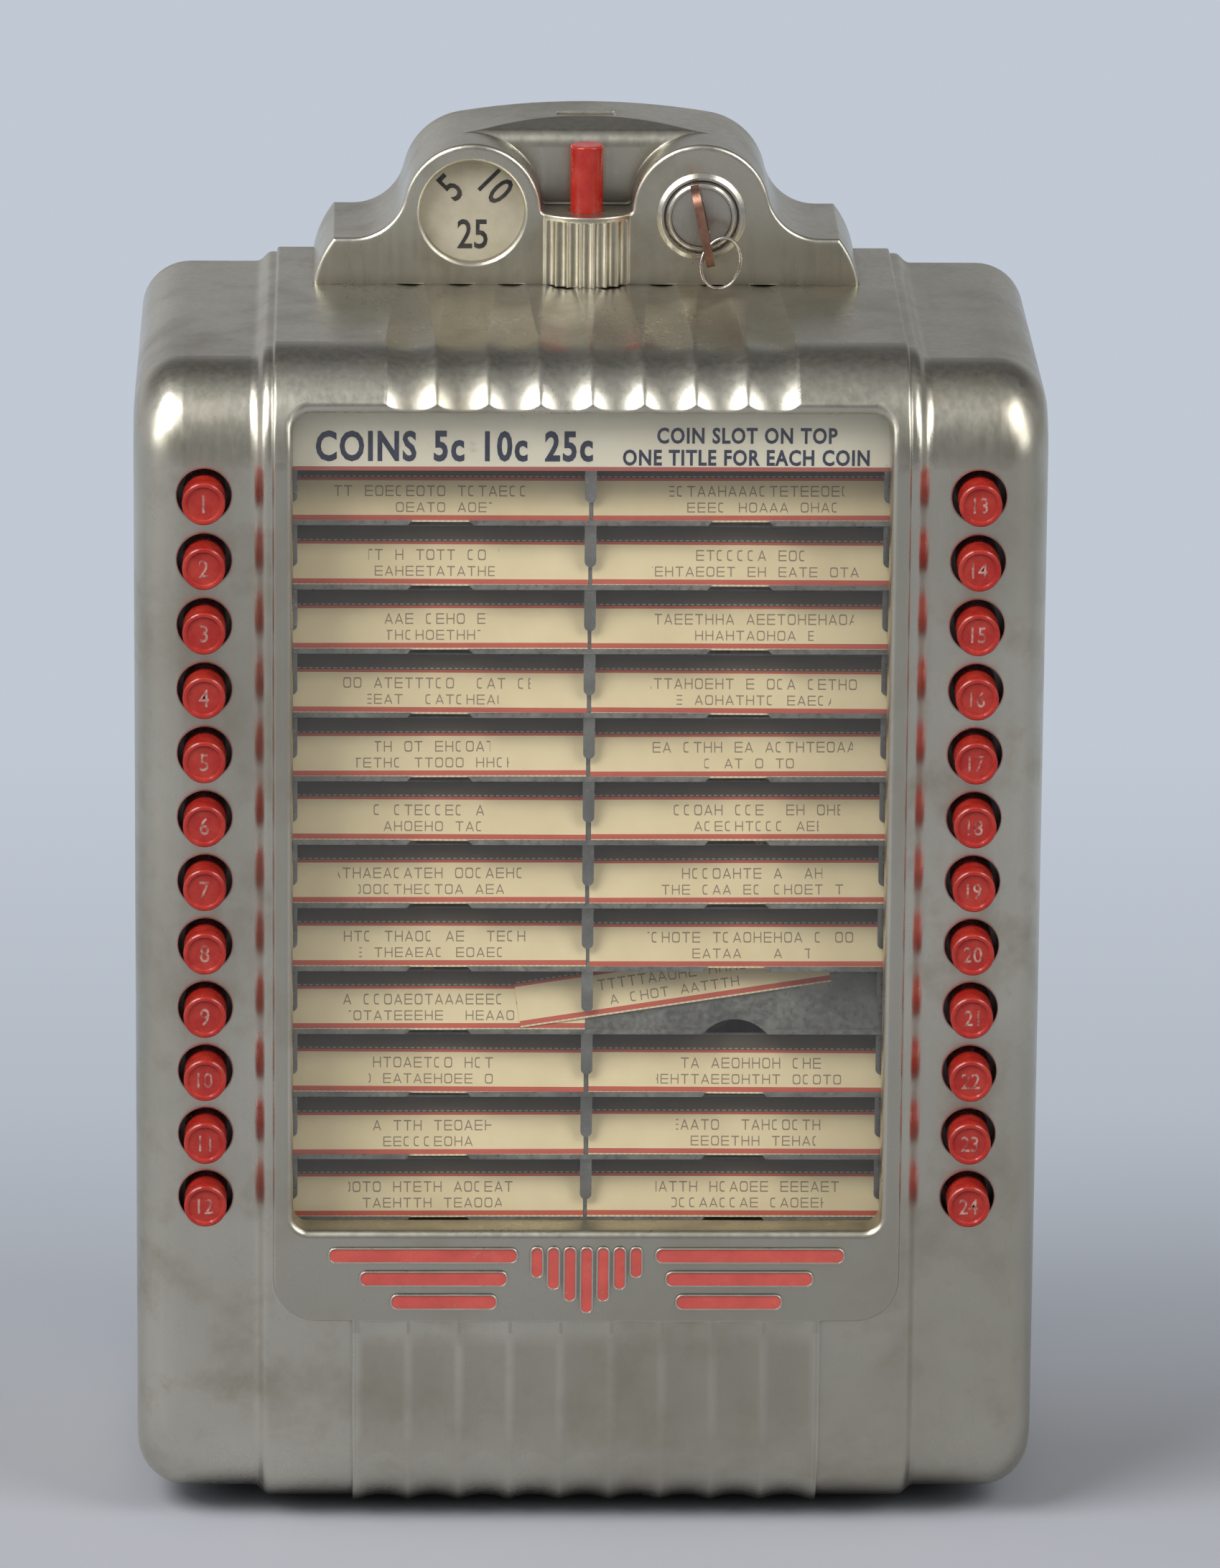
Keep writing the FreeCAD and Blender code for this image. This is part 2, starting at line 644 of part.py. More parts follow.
def scoop_side():
    """The same hollow from the side: upright back wall, round brow, roof rising to the dome."""
    front, wall = d.crown_face - PAST / 2, d.crown_face + d.scoop_depth
    low, top = d.deck + d.ledge_rise, d.deck + d.crown_top
    brow = V(0, wall, top - d.roof_drop)
    summit = V(0, wall + d.roof_reach, top)
    corners = [V(0, front, low), V(0, wall, low), brow, summit, summit + V(0, 0, 5),
               V(0, front, top + 5)]
    sides = [line(first, second) for first, second in zip(corners, corners[1:] + corners[:1])]
    shape = prism(Part.Wire(sides), V(2 * d.crown_width, 0, 0))
    shape.translate(V(-d.crown_width, 0, 0))

    def at_brow(edge):
        spot = middle(edge)
        return close(spot.y, brow.y) and close(spot.z, brow.z)
    return shape.makeFillet(d.brow_round, edges_where(shape, at_brow))


def scoop():
    """The hollow between the lobes where the coins are laid."""
    return scoop_front().common(scoop_side())


def drum():
    """The ribbed half drum below the ledge, with its vertical grooves."""
    axis = V(0, d.crown_face - d.drum_stand + d.drum_radius, d.deck)
    top = V(axis.x, axis.y, d.deck + d.ledge_rise)
    shape = rod(d.drum_radius * 2, axis, top)
    front = brick((-d.drum_radius, d.drum_radius), (axis.y - d.drum_radius, d.crown_face + 0.5),
                  (d.deck, d.deck + d.ledge_rise))
    shape = shape.common(front)
    step = 2 * math.pi / d.drum_ribs
    reach = d.drum_radius + d.rib_radius / 2
    grooves = []
    for number in range(-int(d.drum_ribs) // 4, int(d.drum_ribs) // 4 + 1):
        foot = axis + V(math.sin(number * step), -math.cos(number * step), 0) * reach
        if foot.y < d.crown_face - d.rib_radius / 2:
            grooves.append(rod(d.rib_radius * 2, foot - V(0, 0, 1),
                               foot + V(0, 0, d.ledge_rise - d.drum_lip)))
    return shape.cut(grooves)


def crown_hollow():
    """The crown's inside: open behind and below, lobes deep enough for dial and lock."""
    split = d.crown_face + d.scoop_depth + d.wall
    behind = hump(d.wall, False, split, d.rear + 1)
    start, depth = d.crown_face + d.wall, split - d.crown_face - d.wall + 0.1
    radius = d.lobe_radius - d.wall
    ahead = brick((-d.lobe_x - radius, d.lobe_x + radius), (start, start + depth),
                  (d.deck - 1, d.floor_z))
    bores = [rod(radius * 2, V(side * d.lobe_x, start, d.lobe_z),
                 V(side * d.lobe_x, start + depth, d.lobe_z)) for side in (-1, 1)]
    return [behind, ahead.fuse(bores)]


def crown_shape():
    """The crown casting that carries the coin entry, the dial and the lock."""
    shape = hump(0, True, d.crown_face, d.rear)
    shape = shape.cut(scoop())

    def on_front(edge):
        spot = middle(edge)
        flat = edge.BoundBox.YLength < 0.001 and close(spot.y, d.crown_face)
        return flat and not close(spot.z, d.deck)
    shape = shape.makeFillet(d.crown_soft, edges_where(shape, on_front))
    shape = shape.fuse(drum())
    mark = brick((-d.mark_width / 2, d.mark_width / 2),
                 (d.crown_face + d.mark_back, d.crown_face + d.mark_back + d.mark_deep),
                 (d.deck + d.crown_top - d.mark_sink, d.deck + d.crown_top + 1))
    face = d.crown_face - d.drum_stand - 1
    dial = rod(d.dial_window, V(-d.lobe_x, face, d.lobe_z), V(-d.lobe_x, face + PAST, d.lobe_z))
    bevel = Part.makeCone(d.dial_window / 2 + d.dial_bevel, d.dial_window / 2, d.dial_bevel,
                          V(-d.lobe_x, d.crown_face, d.lobe_z), V(0, 1, 0))
    lock = rod(d.lock_barrel + 2 * d.slide_gap, V(d.lobe_x, face, d.lock_z),
               V(d.lobe_x, face + PAST, d.lock_z))
    plunger = rod(d.rod_diameter + 2 * d.slide_gap, V(0, d.rod_y, d.deck - 1),
                  V(0, d.rod_y, d.deck + d.crown_top))
    well = rod(d.collar_diameter + 1, V(0, d.rod_y, d.deck - 1), V(0, d.rod_y, d.floor_z))
    slot_y = d.crown_face + d.slot_back
    slot = brick((-d.slot_length / 2, d.slot_length / 2), (slot_y, slot_y + d.slot_width),
                 (d.floor_z - 1, d.deck + d.ledge_rise + 8))
    openings = [mark, dial, bevel, lock, plunger, well, slot] + crown_screw_holes()
    return shape.cut(crown_hollow() + openings).removeSplitter()


# ---------------------------------------------------------------- pieces of the cover


def make_castings():
    keep(solid("cover_casting", cover_shape()), "cover_shell")
    keep(solid("crown_casting", crown_shape()), "crown")


def make_window():
    """Flat glass in its seat, the price card behind it and the frame that holds both."""
    half = "window_width / 2 + glass_lap - fit_gap / 2"
    pane = block("glass_pane", (f"-({half})", half), ("face + glass_seat", "face + glass_back"),
                 ("window_bottom - glass_lap + fit_gap / 2", "window_top + glass_lap - fit_gap / 2"))
    middle_y = d.face + d.glass_seat + d.glass_thick / 2
    keep(rounded("glass_rounded", pane, "window_round + glass_lap",
                 lambda edge: close(middle(edge).y, middle_y)), "window_glass")
    card_half = "window_width / 2 + card_lap"
    keep(block("price_card", (f"-({card_half})", card_half),
               ("face + glass_back + card_gap", "face + glass_back + card_gap + card_thick"),
               ("window_top - card_tall", "window_top + card_lap / 2")), "instruction_card")
    outer = "window_width / 2 + rim_width - frame_ease"
    plate = block("frame_plate", (f"-({outer})", outer),
                  ("face + glass_back", "face + glass_back + frame_thick"),
                  ("window_bottom - rim_width + frame_ease", "frame_top"))
    opening = block("frame_opening", ("-window_width / 2 - 1", "window_width / 2 + 1"),
                    ("face", "face + glass_back + 5"),
                    ("window_bottom - 1", "window_top - card_tall + card_show"))
    pocket = block("frame_pocket", (f"-({card_half}) - card_gap", f"{card_half} + card_gap"),
                   ("face", "face + glass_back + card_gap + card_thick"),
                   ("window_top - card_tall - card_gap", "window_top + card_lap"))
    holes = [cylinder(f"frame_hole_{number}", "y", "screw_hole", "face + glass_back - 1",
                      "face + glass_back + frame_thick + 1", *spot)
             for number, spot in enumerate(frame_screw_places())]
    keep(cut("glass_keeper", plate, opening, pocket, *holes), "glass_frame")


def frame_screw_places():
    """Where the frame's screws enter, as rules for X and Z."""
    across = "window_width / 2 + glass_lap + (rim_width - glass_lap) / 2"
    heights = ["window_bottom - rim_width / 3", "(window_bottom + window_top) / 2",
               "frame_top - rim_width * 0.4"]
    return [(f"{side} * ({across})", height) for side in (-1, 1) for height in heights]


def make_dial():
    """The printed coin disc behind its round window, and the ring that clamps it."""
    back = "crown_face + wall"
    size = "dial_window + 2 * dial_lap"
    keep(cylinder("dial_disc", "y", size, back, f"{back} + dial_thick", "-lobe_x", "lobe_z"),
         "coin_dial")
    rear = f"{back} + dial_thick"
    ring = cylinder("dial_ring", "y", size, rear, f"{rear} + sheet_thick",
                    "-lobe_x", "lobe_z")
    hole = cylinder("dial_ring_hole", "y", "dial_window - 2 * dial_ledge", rear, f"{rear} + wall", "-lobe_x",
                    "lobe_z")
    keep(cut("dial_clamp", ring, hole), "dial_retainer")


def lock_rim_section():
    """Half of the escutcheon's section: inner ring, groove, outer ring and its slope."""
    bore, edge = "plug_diameter / 2 + slide_gap", "lock_rim / 2"
    return outline("rim_section", "xy", [
        (bore, "0"), (bore, "-rim_stand"), (f"{bore} + rim_step", "-rim_stand"),
        (f"{bore} + 2 * rim_step", "rim_step - rim_stand"),
        (f"{bore} + 2 * rim_step", "rim_groove - rim_stand"),
        (f"{edge} - 4 * rim_step", "rim_groove - rim_stand"),
        (f"{edge} - 3 * rim_step", "rim_step - rim_stand"),
        (f"{edge} - 2 * rim_step", "rim_step - rim_stand"), (edge, "0"),
    ])


def make_lock():
    """Cam lock: escutcheon and barrel, nut, turning plug, cam and key."""
    x, z = "lobe_x", "lock_z"
    rim = turned("lock_rim", lock_rim_section(), x, "crown_face", z)
    barrel = cylinder("lock_barrel", "y", "lock_barrel", "crown_face", "crown_face + lock_length",
                      x, z)
    bore = cylinder("lock_bore", "y", "plug_diameter + 2 * slide_gap", "crown_face - wall",
                    "crown_face + lock_length + wall", x, z)
    keep(cut("lock_case", fuse("lock_outer", rim, barrel), bore), "lock_body")
    nut = cylinder("lock_nut_disc", "y", "lock_barrel + 2 * nut_wall", "crown_face + wall",
                   "crown_face + wall + nut_thick", x, z)
    thread = cylinder("lock_nut_hole", "y", "lock_barrel + 2 * slide_gap", "crown_face",
                      "crown_face + 2 * wall + nut_thick", x, z)
    keep(cut("lock_nut_ring", nut, thread), "lock_nut")

    centre = V(d.lobe_x, 0, d.lock_z)
    front, tail = d.crown_face - d.plug_stand, d.crown_face + d.lock_length + d.fit_gap
    plug = rod(d.plug_diameter, centre + V(0, front, 0), centre + V(0, tail, 0))
    square = upright_bar(centre, d.cam_square, d.cam_square, tail, tail + d.cam_thick + 1)
    way = upright_bar(centre, d.key_thick + 4 * d.slide_gap, d.key_neck + 4 * d.fit_gap,
                      front - 1, front + d.key_blade + 1)
    way.rotate(centre, V(0, 1, 0), -d.key_lean)
    keep(solid("plug", plug.fuse(square).cut(way)), "lock_plug")

    tip = centre + V(d.cam_width / 2 - d.cam_length, tail, 0)
    arm = brick((tip.x, d.lobe_x), (tail, tail + d.cam_thick),
                (d.lock_z - d.cam_width / 2, d.lock_z + d.cam_width / 2))
    through = V(0, d.cam_thick, 0)
    hub = rod(d.cam_square * 2, centre + V(0, tail, 0), centre + V(0, tail, 0) + through)
    cam = arm.fuse([hub, rod(d.cam_width, tip, tip + through)]).cut(square)
    keep(solid("cam", cam.removeSplitter()), "lock_cam")
    keep(solid("key", key_shape(centre, front)), "lock_key")


def upright_bar(centre, wide, tall, start, end):
    """A bar along Y round a centre, so wide and so tall."""
    return brick((centre.x - wide / 2, centre.x + wide / 2), (start, end),
                 (centre.z - tall / 2, centre.z + tall / 2))


def ring_hole():
    """Where the key's hole for the ring is: across from the lock's axis, forward and below."""
    lean = math.radians(d.key_lean)
    drop = d.key_tall * d.ring_drop
    return V(d.lobe_x + drop * math.sin(lean), d.crown_face - d.ring_out,
             d.lock_z - drop * math.cos(lean))


def key_shape(centre, front):
    """A flat key: round-ended bow edge-on to the front, neck and blade in the plug."""
    bow_y = ring_hole().y + d.key_bow / 4
    bow = upright_bar(centre, d.key_thick, d.key_tall, bow_y - d.key_bow / 2, bow_y + d.key_bow / 2)
    corners = edges_where(bow, lambda e: close(middle(e).x, centre.x))
    bow = bow.makeFillet(d.key_round, corners)
    neck = upright_bar(centre, d.key_thick, d.key_neck, bow_y, front + d.key_blade)
    across = V(d.key_thick, 0, 0)
    spot = V(centre.x, ring_hole().y, centre.z - d.key_tall * d.ring_drop)
    hole = rod(d.ring_wire * 4.4, spot - across, spot + across)
    key = bow.fuse(neck).cut(hole)
    key.rotate(centre, V(0, 1, 0), -d.key_lean)
    return key


def make_key_ring():
    """A split wire ring that hangs in the key's hole."""
    radius = (d.ring_diameter - d.ring_wire) / 2
    anchor = ring_hole()
    turn = math.radians(d.ring_turn)
    across = V(math.cos(turn), math.sin(turn), 0)
    centre = anchor + (across - V(0, 0, 1)) * (radius * math.sqrt(0.5))
    normal = across.cross(V(0, 0, 1))
    ring = Part.makeTorus(radius, d.ring_wire / 2, centre, normal)
    keep(solid("wire_ring", ring), "key_ring")


def make_coin_return():
    """The red coin-return plunger with its collar, stem and spring."""
    x, y = "0", "rod_y"
    rest = "floor_z - slide_gap"
    top = cylinder("plunger_top", "z", "rod_diameter", rest, "deck + ledge_rise + rod_rise", x, y)
    collar = cylinder("plunger_collar", "z", "collar_diameter", f"{rest} - collar_thick", rest, x, y)
    stem = cylinder("plunger_stem", "z", "rod_stem", "inside_high - stem_reach", rest, x, y)
    high = d.deck + d.ledge_rise + d.rod_rise
    keep(rounded("plunger_round", fuse("plunger", top, collar, stem), "rod_round",
                 lambda edge: edge.Closed and close(middle(edge).z, high)), "return_rod")
    spring = cylinder("spring_outer", "z", "collar_diameter - 2 * spring_ease", "deck",
                      f"{rest} - collar_thick", x, y)
    inner = cylinder("spring_inner", "z", "rod_stem + 4 * spring_ease", "deck - 1", rest, x, y)
    keep(cut("spring_tube", spring, inner), "rod_spring")


# ---------------------------------------------------------------- buttons


def cap_profile():
    """Half of a button cap's section, dished in front."""
    cap = "cap_diameter / 2"
    return outline("cap_section", "xy", [
        ("0", "cap_dish"), (f"{cap} - cap_slope", "cap_dish"), (f"{cap} - cap_rim", "0"),
        (f"{cap} - cap_edge", "0"), (cap, "cap_edge"), (cap, "cap_length"), ("0", "cap_length"),
    ])


def make_buttons():
    """One push button for each selection, on a square stem that keeps its number upright."""
    section = cap_profile()
    start = "face - cap_stand"
    clip_at = "face + bank_front + sheet_thick + slide_gap"
    for side, first in ((-1, 1), (1, 13)):
        for row in range(int(d.rows)):
            number = first + int(d.rows) - 1 - row
            x, z = f"{side} * column_gap / 2", f"low_row + {row} * row_pitch - cap_drop"
            cap = turned(f"turned_cap_{number}", section, x, start, z)
            stem = block(f"stem_{number}", (f"{x} - stem_width / 2", f"{x} + stem_width / 2"),
                         (f"{start} + cap_length", f"{start} + cap_length + stem_length"),
                         (f"{z} - stem_width / 2", f"{z} + stem_width / 2"))
            clip = cylinder(f"clip_{number}", "y", "clip_diameter", clip_at,
                            f"{clip_at} + clip_thick", x, z)
            keep(fuse(f"push_button_{number}", cap, stem, clip), f"button_{number:02d}")


def many_sided(sides, size, start, length):
    """A prism along Y with that many sides, on a circle of that size round its start."""
    corners = [start + V(math.cos(2 * math.pi * n / sides), 0, math.sin(2 * math.pi * n / sides))
               * (size / 2) for n in range(sides)]
    return Part.Face(Part.makePolygon(corners + corners[:1])).extrude(V(0, length, 0))


def at_buttons(pieces):
    """Copies of small shapes, made at the origin, at every button's axis."""
    copies = []
    for side in (-1, 1):
        for height in row_heights():
            for piece in pieces:
                copy = piece.copy()
                copy.translate(V(side * d.column_gap / 2, 0, height - d.cap_drop))
                copies.append(copy)
    return copies


def make_button_banks():
    """Two channels whose two flanges guide the button stems, and the switch boards behind."""
    front, guide = "face + bank_front", "face + bank_guide"
    low, high = "low_row - bank_low", "low_row + (rows - 1) * row_pitch + bank_high"
    inner, outer = "bank_x", "bank_x + bank_width"
    banks = []
    for side, word in ((-1, "left"), (1, "right")):
        def across(rule):
            return f"{side} * ({rule})"
        section = outline(f"bank_section_{word}", "xy", [
            (across(inner), front), (across(outer), front), (across(outer), f"{front} + sheet_thick"),
            (across(f"{inner} + sheet_thick"), f"{front} + sheet_thick"),
            (across(f"{inner} + sheet_thick"), guide), (across(outer), guide),
            (across(outer), f"{guide} + sheet_thick"),
            (across(f"{inner} + sheet_thick"), f"{guide} + sheet_thick"),
            (across(f"{inner} + sheet_thick"), "face + board_back"),
            (across(inner), "face + board_back"),
        ])
        channel = extrude(f"bank_{word}", section, "xy", low, high)
        holes = []
        for row in range(int(d.rows)):
            x, z = f"{side} * column_gap / 2", f"low_row + {row} * row_pitch - cap_drop"
            reach = "(stem_width / 2 + slide_gap)"
            holes.append(block(f"bank_hole_{word}_{row}", (f"{x} - {reach}", f"{x} + {reach}"),
                               (f"{front} - 1", f"{guide} + 5"), (f"{z} - {reach}", f"{z} + {reach}")))
        banks.append(cut(f"bank_drilled_{word}", channel, *holes))
    keep(group("bank_pair", *banks), "button_banks")
    boards = []
    for side in (-1, 1):
        ends = (f"{inner}", f"{outer} - 0.5") if side > 0 else (f"0.5 - ({outer})", f"-({inner})")
        boards.append(block(f"switch_board_{side + 1}", ends,
                            ("face + board_back", "face + board_back + 2"), (low, high)))
    keep(group("switch_board_pair", *boards), "contact_boards")
    tip = d.face - d.cap_stand + d.cap_length + d.stem_length
    free = tip + d.button_travel + d.fit_gap
    board = d.face + d.board_back
    studs = at_buttons([many_sided(6, d.stud_diameter, V(0, free, 0), board - free)])
    for number in range(int(2 * d.rows)):
        turn = 2 * math.pi * number / (2 * d.rows)
        spot = V(0, d.disc_y - 1, d.selector_z) + V(math.cos(turn), 0, math.sin(turn)) * d.wiper_reach
        studs.append(many_sided(6, d.stud_diameter, spot, 1))
    keep(solid("studs", Part.makeCompound(studs)), "contact_studs")
    clip = d.face + d.bank_front + d.sheet_thick + d.slide_gap + d.clip_thick
    guide_face = d.face + d.bank_guide
    inner = d.stem_width * math.sqrt(2) + 3 * d.fit_gap
    tube = many_sided(8, inner + d.stem_width * 0.3, V(0, clip, 0), guide_face - clip)
    tube = tube.cut(many_sided(8, inner, V(0, clip, 0), guide_face - clip))
    keep(solid("springs", Part.makeCompound(at_buttons([tube]))), "button_springs")


# ---------------------------------------------------------------- chassis


def make_back_plate():
    """Steel back: wall holes, cable entry, a shelf below and a tongue up into the crown."""
    gap = d.fit_gap
    half, low, high = d.inside_x - gap, d.inside_low + gap, d.inside_high - gap
    plate = rounded_rectangle((-half, half), (low, high), d.side_round - d.wall, d.plate_face,
                              d.plate_thick)
    tongue = hump(d.wall + gap, False, d.plate_face, d.rear)
    inside = brick((-d.notch_x + gap, d.notch_x - gap), (d.plate_face - 1, d.rear + 1),
                   (high - 20, d.deck + d.crown_top))
    neck_half = d.lobe_x + d.lobe_radius - d.wall - gap
    neck = brick((-neck_half, neck_half), (d.plate_face, d.rear), (high - 1, d.deck))
    shelf = brick((d.shelf_in - half, half - d.shelf_in), (d.face + d.shelf_front, d.plate_face + 1),
                  (low, low + d.sheet_thick))
    plate = plate.fuse([tongue.common(inside), neck, shelf]).removeSplitter()
    holes = []
    middle_z = (d.inside_low + d.inside_high) / 2
    for side in (-1, 1):
        for level in (-1, 1):
            spot = V(side * d.wall_hole_x / 2, d.plate_face - 1, middle_z + level * d.wall_hole_z / 2)
            holes.append(rod(d.wall_hole, spot, spot + V(0, d.plate_thick + 2, 0)))
    cable = cable_place()
    holes.append(rod(d.cable_hole, cable - V(0, 1, 0), cable + V(0, d.plate_thick + 1, 0)))
    half_return, half_deep = (span / 2 + d.wall - d.return_tuck
                                for span in (d.return_width, d.return_deep))
    holes.append(brick((d.return_x - half_return, d.return_x + half_return),
                       (d.return_y - half_deep, d.return_y + half_deep),
                       (low - 1, low + d.sheet_thick + 1)))
    keep(solid("back_pressing", plate.cut(holes)), "back_plate")


def cable_place():
    return V(d.cable_in - d.frame_x, d.plate_face, d.frame_high - d.cable_drop)


def make_grommet():
    """Rubber bush that lines the cable entry."""
    spot = cable_place()
    body = rod(d.cable_hole, spot, spot + V(0, d.plate_thick, 0))
    lip = rod(d.cable_hole + 2 * d.bush_lip, spot - V(0, d.bush_deep, 0), spot)
    bore = rod(d.cable_hole - 2 * d.bush_wall, spot - V(0, d.bush_deep + 1, 0),
               spot + V(0, d.plate_thick + 1, 0))
    keep(solid("rubber_bush", body.fuse(lip).cut(bore)), "cable_grommet")


def make_side_frames():
    """Bent steel sides that carry the banks and the title rack off the back plate."""
    sides = []
    for side, word in ((-1, "left"), (1, "right")):
        def across(rule):
            return f"{side} * ({rule})"
        section = outline(f"side_section_{word}", "xy", [
            (across("frame_x"), "face + rack_back - side_proud"),
            (across("bank_x"), "face + rack_back - side_proud"),
            (across("bank_x"), "plate_face - sheet_thick"),
            (across("bank_x + side_flange"), "plate_face - sheet_thick"),
            (across("bank_x + side_flange"), "plate_face"), (across("frame_x"), "plate_face"),
        ])
        sides.append(extrude(f"side_{word}", section, "xy", "frame_low", "frame_high"))
    keep(group("side_pair", *sides), "side_frames")


def lean_out(shape, spot):
    """Lean a rack piece back about its lower front edge."""
    shape.rotate(spot, V(1, 0, 0), -d.rack_lean)
    return shape


def rack_spot(row):
    """Fold of one title holder: where its hem meets its floor, in front."""
    return V(0, d.face + d.rack_back, d.low_row + row * d.row_pitch - d.rack_drop)


def holder_shape(spot, tall, hung):
    """One title holder: back sheet, floor and low hem with finger notches, and hung tongues."""
    half, thick = d.frame_x, d.holder_thick
    y, z = spot.y, spot.z
    rear = y + 2 * (thick + d.strip_thick)
    back = brick((-half, half), (rear - thick, rear), (z, z + tall + d.sheet_over))
    floor = brick((-half, half), (y, rear), (z - thick, z))
    hem = brick((-half, half), (y, y + thick), (z - thick, z + d.hem_tall))
    centre_z = z + d.notch_rise - d.notch_radius
    notches = []
    for side in (-1, 1):
        x = side * d.strip_long * d.notch_x_share
        notches.append(rod(2 * d.notch_radius, V(x, y - thick, centre_z), V(x, rear + thick, centre_z)))
    shape = lean_out(back.fuse([floor, hem]).cut(notches), spot)
    return shape.fuse([tongue(spot, x) for x in (0, -d.side_tongue, d.side_tongue)]) if hung else shape


def tongue(spot, x):
    """Tongue below a holder that keeps the strips of the row below in their place."""
    half = d.tongue_width / 2
    front = spot.y + d.tongue_back
    end = spot.z - d.row_pitch + d.tongue_end + half
    blade = brick((x - half, x + half), (front, front + d.tongue_thick),
                  (end, spot.z - d.holder_thick * 0.75))
    tip = V(x, front, end)
    return blade.fuse(rod(d.tongue_width, tip, tip + V(0, d.tongue_thick, 0)))


def strip_shape(spot, side):
    """One paper title strip standing on the holder's floor, against its back."""
    y = spot.y + d.holder_thick + d.strip_thick
    x = (d.strip_gap, d.strip_long) if side > 0 else (-d.strip_long, -d.strip_gap)
    return brick(x, (y, y + d.strip_thick), (spot.z, spot.z + d.strip_tall))


def loose_strip(spot):
    """The strip that has slipped out of its place: tilted, over its neighbour's end."""
    y = spot.y + d.holder_thick
    corner = V(-d.loose_left, y, spot.z + d.loose_rise)
    strip = brick((corner.x, corner.x + d.strip_long - d.strip_gap), (y, y + d.strip_thick),
                  (corner.z, corner.z + d.strip_tall))
    strip.rotate(corner, V(0, 1, 0), -d.loose_tilt)
    return strip


def make_rack():
    """Twelve title holders and a header between the side frames, with a pair of strips in each."""
    holders, strips = [], []
    for row in range(int(d.rows)):
        spot = rack_spot(row)
        holders.append(holder_shape(spot, d.strip_tall, row > 0))
        strips.append(lean_out(strip_shape(spot, -1), spot))
        right = loose_strip(spot) if row == d.loose_row else strip_shape(spot, 1)
        strips.append(lean_out(right, spot))
    holders.append(holder_shape(rack_spot(d.rows), d.header_tall, True))
    keep(solid("holder_stack", Part.makeCompound(holders)), "title_holders")
    keep(solid("strip_stack", Part.makeCompound(strips)), "title_strips")


def make_catch():
    """Bracket on the back plate that the lock's cam drops behind."""
    front = "crown_face + lock_length + fit_gap - 1.2 * cam_thick"
    across, low = ("lobe_x - catch_half", "lobe_x + catch_half"), "deck - catch_drop"
    arm = block("catch_arm", across, (front, "plate_face"), (low, f"{low} + catch_thick"))
    stop = block("catch_stop", across, (front, f"{front} + catch_thick"),
                 (low, "lock_z - lock_barrel / 2 - fit_gap"))
    keep(fuse("catch_plate", arm, stop), "catch_bracket")


def make_coin_path():
    """Chute under the slot, slug rejector, return chute and cash box."""
    make_chute()
    make_rejector()
    make_return_tube()
    make_cash_box()


def make_chute():
    """Flat tube that leads coins from the slot down into the rejector."""
    ahead, behind = "slot_low - 2 * slide_gap", "slot_high + fit_gap"
    outer = block("chute_outer", ("-coin_half - sheet_thick", "coin_half + sheet_thick"),
                  (f"{ahead} - sheet_thick", f"{behind} + sheet_thick"),
                  ("rejector_top", "floor_z - 1"))
    way = block("chute_inner", ("-coin_half", "coin_half"), (ahead, behind),
                ("rejector_top - 1", "floor_z"))
    front = block("chute_front", ("-slot_length", "slot_length"), ("crown_face", ahead),
                  ("inside_high - stem_reach", "floor_z"))
    keep(cut("chute", outer, way, front), "coin_chute")


def make_rejector():
    """Slug rejector: a case open below, with a gate in front and the lever's cradle."""
    half, top, low = "rejector_width / 2", "rejector_top", "rejector_low"
    case = block("rejector_outer", (f"-{half}", half), ("rejector_face", "rejector_rear"), (low, top))
    hollow = block("rejector_hollow", (f"rejector_wall - {half}", f"{half} - rejector_wall"),
                   ("rejector_face - 1", "rejector_rear - rejector_wall"),
                   (f"{low} - 1", f"{top} - rejector_wall"))
    mouth = block("rejector_mouth", ("-coin_half", "coin_half"),
                  ("slot_low - fit_gap", "slot_high + fit_gap"), (f"{top} - rejector_wall - 1", f"{top} + 1"))
    ears = [block(f"rejector_ear_{word}", across, ("rejector_rear", "plate_face"),
                  (f"{top} - gate_drop - ear_tall", f"{top} - gate_drop"))
            for word, across in (("left", (f"-{half}", f"rejector_wall - {half}")),
                                 ("right", (f"{half} - rejector_wall", half)))]
    gate = block("rejector_gate", (f"rejector_wall - {half}", f"{half} - rejector_wall"),
                 ("rejector_face", "rejector_face + sheet_thick"),
                 (f"{top} - gate_drop - gate_tall", f"{top} - gate_drop"))
    shell = cut("rejector_shell", case, hollow, mouth)
    keep(fuse("rejector", shell, gate, lever_cradle(), *ears), "slug_rejector")


def make_return_tube():
    """Square tube from the rejector down to the return opening."""
    half, deep = "return_width / 2", "return_deep / 2"
    tube = block("return_outer", (f"return_x - {half}", f"return_x + {half}"),
                 (f"return_y - {deep}", f"return_y + {deep}"),
                 ("inside_low + fit_gap", "rejector_low"))
    bore = block("return_inner",
                 (f"return_x - {half} + sheet_thick", f"return_x + {half} - sheet_thick"),
                 (f"return_y - {deep} + sheet_thick", f"return_y + {deep} - sheet_thick"),
                 ("inside_low - 1", "rejector_low + 1"))
    keep(cut("return_tube", tube, bore), "return_chute")


def make_cash_box():
    """Open drawer for the coins, on the back plate's shelf."""
    floor = "inside_low + fit_gap + sheet_thick"
    left, right = "cash_in", "frame_x - cash_clear"
    front, back = "face + cash_front", "plate_face - cash_back"
    box = block("cash_outer", (left, right), (front, back), (floor, f"{floor} + cash_tall"))
    hole = block("cash_inner", (f"{left} + cash_wall", f"{right} - cash_wall"),
                 (f"{front} + cash_wall", f"{back} - cash_wall"),
                 (f"{floor} + cash_wall", f"{floor} + cash_tall + 1"))
    keep(cut("cash_drawer", box, hole), "cash_box")


